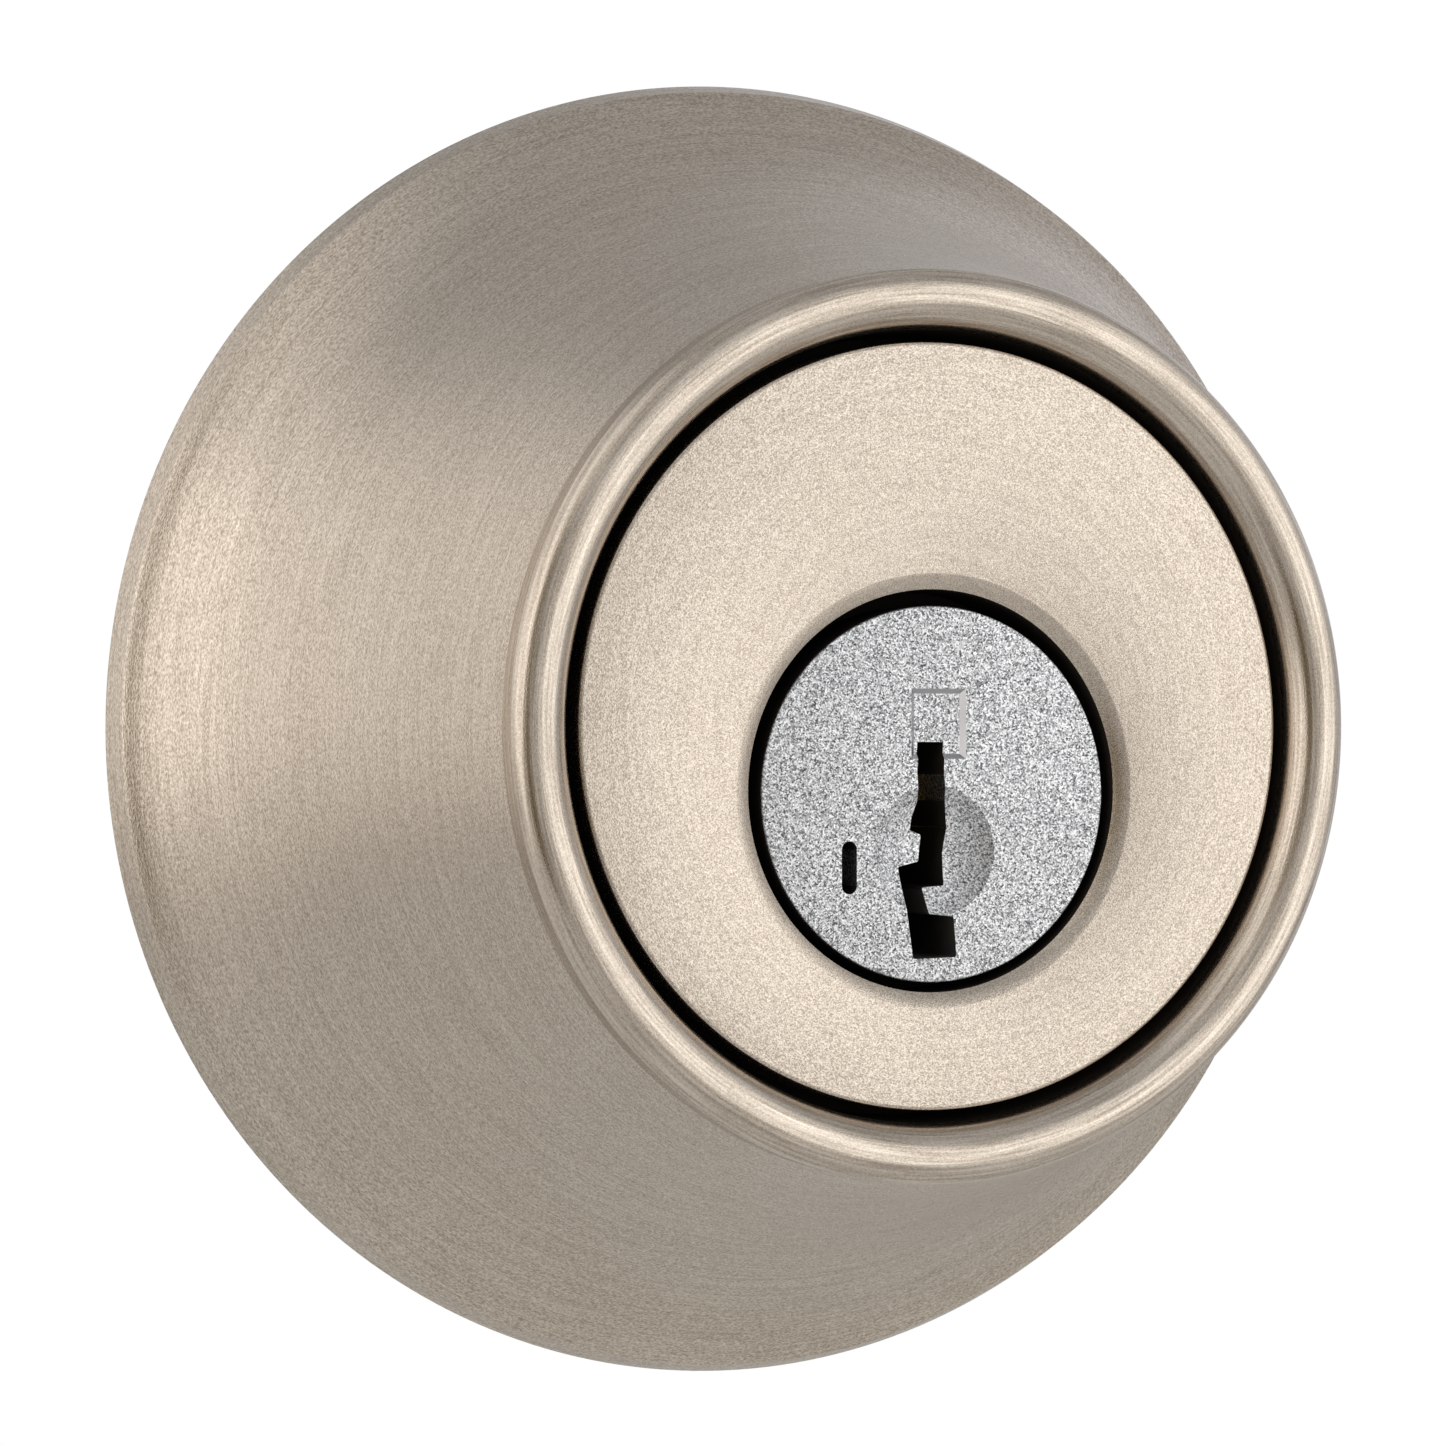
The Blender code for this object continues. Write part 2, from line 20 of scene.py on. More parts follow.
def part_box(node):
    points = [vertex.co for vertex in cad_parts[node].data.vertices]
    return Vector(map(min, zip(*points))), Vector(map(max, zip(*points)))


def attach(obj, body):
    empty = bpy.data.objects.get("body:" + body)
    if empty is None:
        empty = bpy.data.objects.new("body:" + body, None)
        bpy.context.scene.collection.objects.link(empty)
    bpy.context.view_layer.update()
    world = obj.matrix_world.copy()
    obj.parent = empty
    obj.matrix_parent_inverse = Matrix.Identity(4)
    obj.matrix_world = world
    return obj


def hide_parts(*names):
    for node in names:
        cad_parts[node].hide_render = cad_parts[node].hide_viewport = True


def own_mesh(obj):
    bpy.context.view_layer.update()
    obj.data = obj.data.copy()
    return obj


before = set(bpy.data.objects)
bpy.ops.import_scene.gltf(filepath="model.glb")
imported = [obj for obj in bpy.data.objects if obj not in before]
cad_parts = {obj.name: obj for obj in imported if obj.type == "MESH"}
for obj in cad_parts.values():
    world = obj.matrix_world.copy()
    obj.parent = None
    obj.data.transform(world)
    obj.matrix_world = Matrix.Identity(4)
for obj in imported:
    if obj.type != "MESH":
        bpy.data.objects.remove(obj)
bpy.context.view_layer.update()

LOG = logging.getLogger("deadbolt")
MM = 0.001

# Millimetres that two or more pieces share.
PIN_X = -0.35
PIN_PITCH = 3.81
FIRST_PIN = 16.3
POST_OFFSET = 12.0

Point = tuple[float, float]
Corner = tuple[float, float, float]


# ---------------------------------------------------------------- frame sizes


@cache
def middle_height(node: str) -> float:
    """Return the height of a node's middle, in metres."""
    low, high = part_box(node)
    return (low.z + high.z) / 2


class Facing(Enum):
    """The two axes that the lock is drawn about, named by the node that shows each."""

    COLLAR = "collar"
    PLUG = "plug"

    @property
    def height(self) -> float:
        """Return the axis's height in the frame, in metres."""
        return middle_height(self.value)

    def matrix(self) -> Matrix:
        """Return the turn from the face-on drawing, in millimetres, to the frame."""
        stand = Matrix.Rotation(math.radians(90.0), 4, "X")
        return Matrix.Translation((0.0, 0.0, self.height)) @ stand @ Matrix.Scale(MM, 4)


def span_mm(node: str) -> tuple[float, float]:
    """Return how far a node reaches along the door's axis.

    Args:
        node: The CAD node's name.

    Returns:
        Its back and front, in millimetres out of the door.
    """
    low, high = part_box(node)
    return -high.y / MM, -low.y / MM


def radius_mm(node: str) -> float:
    """Return half a node's width, in millimetres."""
    low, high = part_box(node)
    return (high.x - low.x) / 2 / MM


# -------------------------------------------------------------------- outlines


def arc(middle: Point, radius: float, start: float, end: float, steps: int) -> list[Point]:
    """Return points along an arc.

    Args:
        middle: The arc's centre.
        radius: Its radius.
        start: The angle of its first point, in degrees.
        end: The angle of its last point, in degrees.
        steps: How many equal steps it takes.

    Returns:
        The points, both ends included.
    """
    turns = [math.radians(start + (end - start) * i / steps) for i in range(steps + 1)]
    return [(middle[0] + radius * math.cos(t), middle[1] + radius * math.sin(t)) for t in turns]


def swept(start: Point, knee: Point, end: Point, steps: int) -> list[Point]:
    """Return points along a curve that leaves its start and meets its end towards a knee.

    Args:
        start: The first point.
        knee: The point that both end tangents pass through.
        end: The last point.
        steps: How many steps it takes.

    Returns:
        The points, both ends included.
    """
    points = []
    for i in range(steps + 1):
        t = i / steps
        weights = ((1.0 - t) ** 2, 2.0 * t * (1.0 - t), t**2)
        spots = (start, knee, end)
        points.append(tuple(sum(w * spot[axis] for w, spot in zip(weights, spots)) for axis in (0, 1)))
    return points


def rounded(corners: Sequence[Corner], steps: int = 4, closed: bool = True) -> list[Point]:
    """Round each corner of an outline by its own radius.

    Args:
        corners: Each corner as x, y and the radius that it is rounded to.
        steps: How many steps a rounded corner takes.
        closed: Whether the outline's end meets its start.

    Returns:
        The rounded outline's points.
    """
    points: list[Point] = []
    count = len(corners)
    for i, (x, y, radius) in enumerate(corners):
        inside = closed or 0 < i < count - 1
        if radius <= 0.0 or not inside:
            points.append((x, y))
            continue
        here = Vector((x, y))
        back = Vector(corners[i - 1][:2]) - here
        ahead = Vector(corners[(i + 1) % count][:2]) - here
        turn = back.angle(ahead)
        reach = min(radius / math.tan(turn / 2), 0.49 * back.length, 0.49 * ahead.length)
        first, last = here + back.normalized() * reach, here + ahead.normalized() * reach
        for k in range(steps + 1):
            t = k / steps
            spot = first * (1 - t) ** 2 + here * 2 * t * (1 - t) + last * t**2
            points.append((spot.x, spot.y))
    return points


def sharp(points: Iterable[Point]) -> list[Corner]:
    """Return points as corners that stay sharp."""
    return [(x, y, 0.0) for x, y in points]


# ---------------------------------------------------------------------- meshes


def add_node(
    tree: bpy.types.NodeTree,
    kind: str,
    inputs: dict[Any, Any] | None = None,
    **settings: Any,
) -> Any:
    """Add a node with its settings, values and links.

    Args:
        tree: The node tree.
        kind: The node's type name.
        inputs: Input names or numbers, each with a value or a socket to link.
        settings: The node's own properties.

    Returns:
        The node.
    """
    node = tree.nodes.new(kind)
    for name, value in settings.items():
        setattr(node, name, value)
    for key, value in (inputs or {}).items():
        if isinstance(value, bpy.types.NodeSocket):
            tree.links.new(value, node.inputs[key])
        else:
            node.inputs[key].default_value = value
    return node


def new_object(name: str, mesh: bpy.types.ID) -> bpy.types.Object:
    """Return a new object in the scene that shows a mesh or curve."""
    obj = bpy.data.objects.new(name, mesh)
    bpy.context.scene.collection.objects.link(obj)
    return obj


def formed(name: str, form: bmesh.types.BMesh) -> bpy.types.Object:
    """Return a new object with a form's mesh, and let the form go."""
    mesh = bpy.data.meshes.new(name)
    form.to_mesh(mesh)
    form.free()
    return new_object(name, mesh)


def evaluated(obj: bpy.types.Object) -> bpy.types.Mesh:
    """Return the mesh that an object's modifiers make of it."""
    bpy.context.view_layer.update()
    graph = bpy.context.evaluated_depsgraph_get()
    return bpy.data.meshes.new_from_object(obj.evaluated_get(graph))


def discard(obj: bpy.types.Object) -> None:
    """Remove an object that was only a step on the way."""
    bpy.data.objects.remove(obj, do_unlink=True)


def baked(obj: bpy.types.Object) -> bpy.types.Object:
    """Apply an object's modifiers, and close, clean and turn its faces outwards."""
    mesh = evaluated(obj)
    obj.modifiers.clear()
    obj.data = mesh
    form = bmesh.new()
    form.from_mesh(mesh)
    bmesh.ops.remove_doubles(form, verts=form.verts, dist=0.0005)
    bmesh.ops.dissolve_degenerate(form, edges=form.edges, dist=0.0002)
    bmesh.ops.recalc_face_normals(form, faces=form.faces)
    form.to_mesh(mesh)
    form.free()
    return obj


def new_piece_tree(name: str, **kinds: str) -> tuple[bpy.types.NodeTree, Any]:
    """Start a Geometry Nodes tree that makes a piece.

    Args:
        name: The tree's name.
        kinds: The tree's named inputs, each with its kind of socket.

    Returns:
        The tree, and the sockets that hold its inputs and a Material.
    """
    tree = bpy.data.node_groups.new(name, "GeometryNodeTree")
    for label, kind in (*kinds.items(), ("Material", "Material")):
        tree.interface.new_socket(label, in_out="INPUT", socket_type=f"NodeSocket{kind}")
    tree.interface.new_socket("Geometry", in_out="OUTPUT", socket_type="NodeSocketGeometry")
    return tree, add_node(tree, "NodeGroupInput").outputs


def close_tree(tree: bpy.types.NodeTree, geometry: Any, material: Any) -> bpy.types.NodeTree:
    """Make a tree's geometry real, give it its material and put it out."""
    real = add_node(tree, "GeometryNodeRealizeInstances", {"Geometry": geometry}).outputs[0]
    dressed = add_node(tree, "GeometryNodeSetMaterial", {"Geometry": real, "Material": material})
    add_node(tree, "NodeGroupOutput", {"Geometry": dressed.outputs[0]})
    return tree


@cache
def turning_tree() -> bpy.types.NodeTree:
    """Return the tree that sweeps a profile round a small circle and welds its poles."""
    tree, given = new_piece_tree("turned_piece", Geometry="Geometry", Steps="Int")
    sweep = {"Resolution": given["Steps"], "Radius": 1.0}
    circle = add_node(tree, "GeometryNodeCurvePrimitiveCircle", sweep).outputs[0]
    profile = add_node(tree, "GeometryNodeMeshToCurve", {"Mesh": given["Geometry"]}).outputs[0]
    curves = {"Curve": circle, "Profile Curve": profile, "Fill Caps": False}
    piece = add_node(tree, "GeometryNodeCurveToMesh", curves).outputs[0]
    poles = {"Geometry": piece, "Distance": 0.0005}
    welded = add_node(tree, "GeometryNodeMergeByDistance", poles).outputs[0]
    return close_tree(tree, welded, given["Material"])


@cache
def spring_tree() -> bpy.types.NodeTree:
    """Return the tree that winds a coil spring from the ground up its own z axis."""
    kinds = dict.fromkeys(("Radius", "Wire", "Rise", "Turns"), "Float")
    tree, given = new_piece_tree("wound_spring", **kinds)
    winding = {
        "Resolution": 24,
        "Rotations": given["Turns"],
        "Start Radius": given["Radius"],
        "End Radius": given["Radius"],
        "Height": given["Rise"],
    }
    helix = add_node(tree, "GeometryNodeCurveSpiral", winding).outputs[0]
    section = {"Resolution": 10, "Radius": given["Wire"]}
    wire = add_node(tree, "GeometryNodeCurvePrimitiveCircle", section).outputs[0]
    curves = {"Curve": helix, "Profile Curve": wire, "Fill Caps": True}
    coil = add_node(tree, "GeometryNodeCurveToMesh", curves).outputs[0]
    return close_tree(tree, coil, given["Material"])


def run_tree(obj: bpy.types.Object, tree: bpy.types.NodeTree, **values: Any) -> bpy.types.Object:
    """Run a Geometry Nodes tree on an object and keep its result as a plain mesh.

    Args:
        obj: The object whose geometry goes in.
        tree: The tree.
        values: The tree's named inputs.

    Returns:
        The object, with the result as its mesh.
    """
    step = obj.modifiers.new(tree.name, "NODES")
    step.node_group = tree
    for item in tree.interface.items_tree:
        if item.in_out == "INPUT" and item.name in values:
            step[item.identifier] = values[item.name]
    return baked(obj)


def turned(name: str, outline: Sequence[Point], steps: int = 192, closed: bool = False) -> bpy.types.Object:
    """Turn an outline of radius and height about the drawing's z axis.

    Args:
        name: The object's name.
        outline: The profile's points.
        steps: How many sides the round piece has.
        closed: Whether the profile is a ring that misses the axis.

    Returns:
        The round piece, in the drawing's millimetres.
    """
    # The circle that the profile follows already has a radius of 1 mm.
    mesh = bpy.data.meshes.new(name)
    count = len(outline)
    edges = [(i, i + 1) for i in range(count - 1)] + ([(count - 1, 0)] if closed else [])
    mesh.from_pydata([(radius - 1.0, -height, 0.0) for radius, height in outline], edges, [])
    return run_tree(new_object(name, mesh), turning_tree(), Steps=steps)


def extruded(name: str, outline: Sequence[Point], low: float, high: float) -> bpy.types.Object:
    """Return a flat outline raised from one height to another, as a closed mesh.

    Args:
        name: The object's name.
        outline: The outline's points, in order round it.
        low: The height of its back face.
        high: The height of its front face.

    Returns:
        The piece, in the drawing's millimetres.
    """
    form = bmesh.new()
    face = form.faces.new([form.verts.new((x, y, low)) for x, y in outline])
    raised = bmesh.ops.extrude_face_region(form, geom=[face])["geom"]
    top = [item for item in raised if isinstance(item, bmesh.types.BMVert)]
    bmesh.ops.translate(form, verts=top, vec=(0.0, 0.0, high - low))
    bmesh.ops.recalc_face_normals(form, faces=form.faces)
    return formed(name, form)


def block(name: str, low: Sequence[float], high: Sequence[float]) -> bpy.types.Object:
    """Return a box between two corners, in the drawing's millimetres."""
    outline = [(low[0], low[1]), (high[0], low[1]), (high[0], high[1]), (low[0], high[1])]
    return extruded(name, outline, low[2], high[2])


def round_bar(
    name: str,
    middle: Point,
    radius: float,
    low: float,
    high: float,
    sides: int = 64,
) -> bpy.types.Object:
    """Return a straight round bar along the drawing's z axis."""
    return extruded(name, arc(middle, radius, 0.0, 360.0 - 360.0 / sides, sides - 1), low, high)


def combined(obj: bpy.types.Object, operation: str, others: Sequence[bpy.types.Object]) -> bpy.types.Object:
    """Cut, join or intersect a piece with others, and discard them.

    Args:
        obj: The piece.
        operation: DIFFERENCE, UNION or INTERSECT.
        others: The pieces that it is combined with, in order.

    Returns:
        The piece.
    """
    for other in others:
        step = obj.modifiers.new(operation.title(), "BOOLEAN")
        step.operation = operation
        step.solver = "EXACT"
        step.object = other
    baked(obj)
    for other in others:
        discard(other)
    return obj


def softened(obj: bpy.types.Object, width: float, angle: float = 35.0, segments: int = 2) -> bpy.types.Object:
    """Round a piece's hard edges by a width in millimetres."""
    step = obj.modifiers.new("Soften", "BEVEL")
    step.width = width
    step.segments = segments
    step.limit_method = "ANGLE"
    step.angle_limit = math.radians(angle)
    step.use_clamp_overlap = True
    return baked(obj)


def finished(
    obj: bpy.types.Object,
    facing: Facing,
    body: str,
    nodes: Sequence[str],
    materials: Sequence[bpy.types.Material],
    crease: float = 28.0,
) -> bpy.types.Object:
    """Put a drawn piece in the frame, dress it, and let it ride and replace.

    Args:
        obj: The piece, in the drawing's millimetres.
        facing: The axis that it was drawn about.
        body: The body that it moves with.
        nodes: The CAD nodes that it stands for.
        materials: Its materials, first the one that covers most of it.
        crease: The angle past which an edge stays sharp, in degrees.

    Returns:
        The finished piece, with its place in its mesh.
    """
    obj.data.transform(facing.matrix())
    obj.data.materials.clear()
    for material in materials:
        obj.data.materials.append(material)
    obj.data.shade_smooth()
    obj.data.set_sharp_from_angle(angle=math.radians(crease))
    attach(obj, body)
    if nodes:
        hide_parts(*nodes)
    LOG.info("%s: %d faces, rides on %s", obj.name, len(obj.data.polygons), body)
    return obj


# -------------------------------------------------------------------- finishes


GRAIN_RADIUS = 25.0  # millimetres from the axis, where a grain has its stated length


def linear(colour: str) -> tuple[float, float, float, float]:
    """Turn an sRGB hex colour such as #C8B8A4 into linear light, with full alpha."""
    levels = [int(colour[i : i + 2], 16) / 255.0 for i in (1, 3, 5)]
    return (*[v / 12.92 if v <= 0.04045 else ((v + 0.055) / 1.055) ** 2.4 for v in levels], 1.0)


def new_surface(name: str) -> tuple[bpy.types.Material, bpy.types.NodeTree, Any]:
    """Return a new material, its tree and its Principled shader."""
    material = bpy.data.materials.new(name)
    material.use_nodes = True
    return material, material.node_tree, material.node_tree.nodes["Principled BSDF"]


def math_node(tree: bpy.types.NodeTree, operation: str, *values: Any) -> Any:
    """Add one step of arithmetic and return its result."""
    inputs = dict(enumerate(values))
    return add_node(tree, "ShaderNodeMath", inputs, operation=operation).outputs[0]


def noise(tree: bpy.types.NodeTree, size_mm: float, detail: float, rough: float = 0.5) -> Any:
    """Return an even noise whose lumps are about a size in millimetres."""
    place = add_node(tree, "ShaderNodeTexCoord").outputs["Object"]
    inputs = {"Vector": place, "Scale": 0.5 / (size_mm * MM), "Detail": detail, "Roughness": rough}
    return add_node(tree, "ShaderNodeTexNoise", inputs).outputs["Fac"]


def tinted(tree: bpy.types.NodeTree, shader: Any, factor: Any, shade: str, colour: str) -> None:
    """Let a surface's colour run from a shade to a colour with a factor."""
    ends = {"Factor": factor, "A": linear(shade), "B": linear(colour)}
    tint = add_node(tree, "ShaderNodeMix", ends, data_type="RGBA")
    tree.links.new(tint.outputs["Result"], shader.inputs["Base Color"])


def roughened(tree: bpy.types.NodeTree, shader: Any, factor: Any, start: float, end: float) -> None:
    """Let a surface's roughness run from a start to an end with a factor."""
    ends = {"Value": factor, "To Min": start, "To Max": end}
    rough = add_node(tree, "ShaderNodeMapRange", ends)
    tree.links.new(rough.outputs[0], shader.inputs["Roughness"])


def raised(tree: bpy.types.NodeTree, shader: Any, height: Any, depth_mm: float) -> None:
    """Raise a surface's grain by a depth in millimetres."""
    relief = {"Strength": 1.0, "Distance": depth_mm * MM, "Height": height}
    bump = add_node(tree, "ShaderNodeBump", relief)
    tree.links.new(bump.outputs[0], shader.inputs["Normal"])


def lathe_grain(tree: bpy.types.NodeTree, height: float, across: float, along: float) -> dict[str, Any]:
    """Return the inputs of a 4D noise drawn out round an axis along Y, with no seam.

    Args:
        tree: The material's tree.
        height: The axis's height in the frame, in metres.
        across: The grain's width, in millimetres.
        along: The grain's length at a radius of 25 mm, in millimetres.

    Returns:
        The noise node's Vector and W inputs, for a Scale of 1.
    """
    place = add_node(tree, "ShaderNodeTexCoord").outputs["Object"]
    parts = add_node(tree, "ShaderNodeSeparateXYZ", {0: place}).outputs
    rise = math_node(tree, "SUBTRACT", parts["Z"], height)
    across_squared = math_node(tree, "MULTIPLY", parts["X"], parts["X"])
    rise_squared = math_node(tree, "MULTIPLY", rise, rise)
    radius = math_node(tree, "SQRT", math_node(tree, "ADD", across_squared, rise_squared))
    safe = math_node(tree, "MAXIMUM", radius, 0.0001)
    turns = GRAIN_RADIUS / along
    east = math_node(tree, "MULTIPLY", math_node(tree, "DIVIDE", parts["X"], safe), turns)
    north = math_node(tree, "MULTIPLY", math_node(tree, "DIVIDE", rise, safe), turns)
    depth = math_node(tree, "MULTIPLY", parts["Y"], 1.0 / (across * MM))
    vector = add_node(tree, "ShaderNodeCombineXYZ", {0: east, 1: north, 2: depth}).outputs[0]
    return {"Vector": vector, "W": math_node(tree, "MULTIPLY", radius, 1.0 / (across * MM)), "Scale": 1.0}


@dataclass(frozen=True)
class SatinNickel:
    """Nickel plate on zinc, brushed while it spins, under a clear lacquer.

    The brush leaves short hairlines round the axis, broken into a pitted grain,
    and longer streaks where the wheel bears hardest. The metal looks warm and
    soft, with broad reflections and no mirror image.
    """

    name: str
    facing: Facing
    colour: str = "#E6DBCF"
    shade: str = "#A89C8F"
    roughness: float = 0.26
    grain_mm: float = 0.06
    hairline_mm: float = 0.13
    streak_mm: float = 6.0
    streak: float = 0.25
    depth_mm: float = 0.004

    def build(self) -> bpy.types.Material:
        """Return the material."""
        material, tree, shader = new_surface(self.name)
        height = self.facing.height
        short = lathe_grain(tree, height, self.grain_mm, self.hairline_mm)
        short |= {"Detail": 1.0, "Roughness": 0.6}
        grain = add_node(tree, "ShaderNodeTexNoise", short, noise_dimensions="4D").outputs["Fac"]
        long = lathe_grain(tree, height, self.grain_mm * 2.2, self.streak_mm)
        long |= {"Detail": 2.0}
        streaks = add_node(tree, "ShaderNodeTexNoise", long, noise_dimensions="4D").outputs["Fac"]
        mixed = add_node(
            tree, "ShaderNodeMix", {"Factor": self.streak, "A": grain, "B": streaks}, data_type="FLOAT"
        ).outputs["Result"]
        both = add_node(
            tree, "ShaderNodeMapRange", {"Value": mixed, "From Min": 0.35, "From Max": 0.65}
        ).outputs[0]
        tinted(tree, shader, both, self.shade, self.colour)
        roughened(tree, shader, both, self.roughness + 0.06, self.roughness - 0.04)
        raised(tree, shader, both, self.depth_mm)
        shader.inputs["Metallic"].default_value = 1.0
        return material


@dataclass(frozen=True)
class BlastedZinc:
    """Die-cast zinc, blasted with grit and flashed with dull nickel.

    Each tiny crater turns its own way, so the face sparkles in grey and white.
    """

    name: str
    colour: str = "#F2F4F8"
    shade: str = "#505257"
    roughness: float = 0.4
    grit_mm: float = 0.05
    depth_mm: float = 0.012

    def build(self) -> bpy.types.Material:
        """Return the material."""
        material, tree, shader = new_surface(self.name)
        place = add_node(tree, "ShaderNodeTexCoord").outputs["Object"]
        grit = noise(tree, self.grit_mm, 3.0, 0.7)
        cells = add_node(
            tree,
            "ShaderNodeTexVoronoi",
            {"Vector": place, "Scale": 1.0 / (self.grit_mm * 1.3 * MM)},
        )
        sparkle = add_node(tree, "ShaderNodeSeparateColor", {0: cells.outputs["Color"]}).outputs[0]
        tinted(tree, shader, sparkle, self.shade, self.colour)
        roughened(tree, shader, sparkle, self.roughness + 0.1, self.roughness - 0.1)
        relief = math_node(tree, "ADD", grit, math_node(tree, "MULTIPLY", cells.outputs["Distance"], 0.6))
        raised(tree, shader, relief, self.depth_mm)
        shader.inputs["Metallic"].default_value = 1.0
        return material


@dataclass(frozen=True)
class WorkedMetal:
    """Turned, drawn or stamped metal with a faint grain and duller patches."""

    name: str
    colour: str
    shade: str
    roughness: float
    grain_mm: float = 0.2
    depth_mm: float = 0.003

    def build(self) -> bpy.types.Material:
        """Return the material."""
        material, tree, shader = new_surface(self.name)
        fine = noise(tree, self.grain_mm, 3.0)
        cloud = noise(tree, self.grain_mm * 12.0, 2.0)
        tinted(tree, shader, cloud, self.shade, self.colour)
        roughened(tree, shader, fine, self.roughness - 0.06, self.roughness + 0.08)
        raised(tree, shader, fine, self.depth_mm)
        shader.inputs["Metallic"].default_value = 1.0
        return material


@dataclass(frozen=True)
class MouldedPlastic:
    """Glass-filled nylon from a spark-eroded mould: black, matt and finely pebbled."""

    name: str
    shade: str = "#1C1C1E"
    colour: str = "#2A2A2C"
    roughness: float = 0.5
    pebble_mm: float = 0.25
    depth_mm: float = 0.02

    def build(self) -> bpy.types.Material:
        """Return the material."""
        material, tree, shader = new_surface(self.name)
        pebble = noise(tree, self.pebble_mm, 2.0)
        tinted(tree, shader, pebble, self.shade, self.colour)
        roughened(tree, shader, pebble, self.roughness - 0.08, self.roughness + 0.1)
        raised(tree, shader, pebble, self.depth_mm)
        return material


@dataclass(frozen=True)
class ShadowedWall:
    """Painted shade: a near-black surface laid on walls deep in gaps and slots, where shade falls, so that
    each gap reads as black.
    """

    name: str
    shade: str = "#191512"
    colour: str = "#2B2622"
    roughness: float = 0.75
    mottle_mm: float = 0.4

    def build(self) -> bpy.types.Material:
        """Return the material."""
        material, tree, shader = new_surface(self.name)
        tinted(tree, shader, noise(tree, self.mottle_mm, 3.0), self.shade, self.colour)
        shader.inputs["Roughness"].default_value = self.roughness
        shader.inputs["Specular IOR Level"].default_value = 0.15
        return material


@dataclass(frozen=True)
class Finishes:
    """Every material of the lock, built once."""

    collar: bpy.types.Material
    bead: bpy.types.Material
    shadow: bpy.types.Material
    disc: bpy.types.Material
    casting: bpy.types.Material
    plug: bpy.types.Material
    coined: bpy.types.Material
    steel: bpy.types.Material
    spring: bpy.types.Material
    brass: bpy.types.Material
    plastic: bpy.types.Material

    @classmethod
    def make(cls) -> "Finishes":
        """Build the materials."""
        return cls(
            # Warm, soft bands of light, broken into a fine round grain.
            collar=SatinNickel("satin_nickel_flare", Facing.COLLAR).build(),
            # The same plate worn brighter, with long streaks round the bead.
            bead=SatinNickel("satin_nickel_bead", Facing.COLLAR, streak=0.6, roughness=0.24).build(),
            # Painted shade: near-black walls in the gaps, the throat and the slots, where shade falls.
            shadow=ShadowedWall("painted_shade_walls").build(),
            # The plate on a flat face, which shows short hairlines and few streaks.
            disc=SatinNickel("satin_nickel_disc", Facing.COLLAR, streak=0.15).build(),
            # Dull grey with the lumps and clouds of a raw casting.
            casting=WorkedMetal("cast_zinc_alloy", "#9C9A97", "#83817E", 0.46, 0.35, 0.02).build(),
            # A cold white sparkle, against the warm plate round it.
            plug=BlastedZinc("blasted_zinc").build(),
            # Pressed walls round the square recess: smoother than the blasted face, and lighter in colour to
            # paint a highlight along them.
            coined=WorkedMetal("coined_zinc", "#D2D3D7", "#B4B5BA", 0.3, 0.08).build(),
            # Bright, plain and slightly blue, with a faint rolled grain.
            steel=WorkedMetal("stamped_steel", "#C6C6C8", "#A9A9AC", 0.3).build(),
            # Brighter and finer than the stamped steel, as drawn wire is.
            spring=WorkedMetal("drawn_spring_wire", "#D0D0D2", "#B4B4B8", 0.22, 0.08).build(),
            # Yellow and glossy, so that the pins stand out inside the plug.
            brass=WorkedMetal("turned_brass", "#D9B36A", "#B98F4A", 0.28, 0.12).build(),
            # Black and matt, with a pebbled skin that breaks up highlights.
            plastic=MouldedPlastic("glass_filled_nylon").build(),
        )


# ---------------------------------------------------------------------- pieces


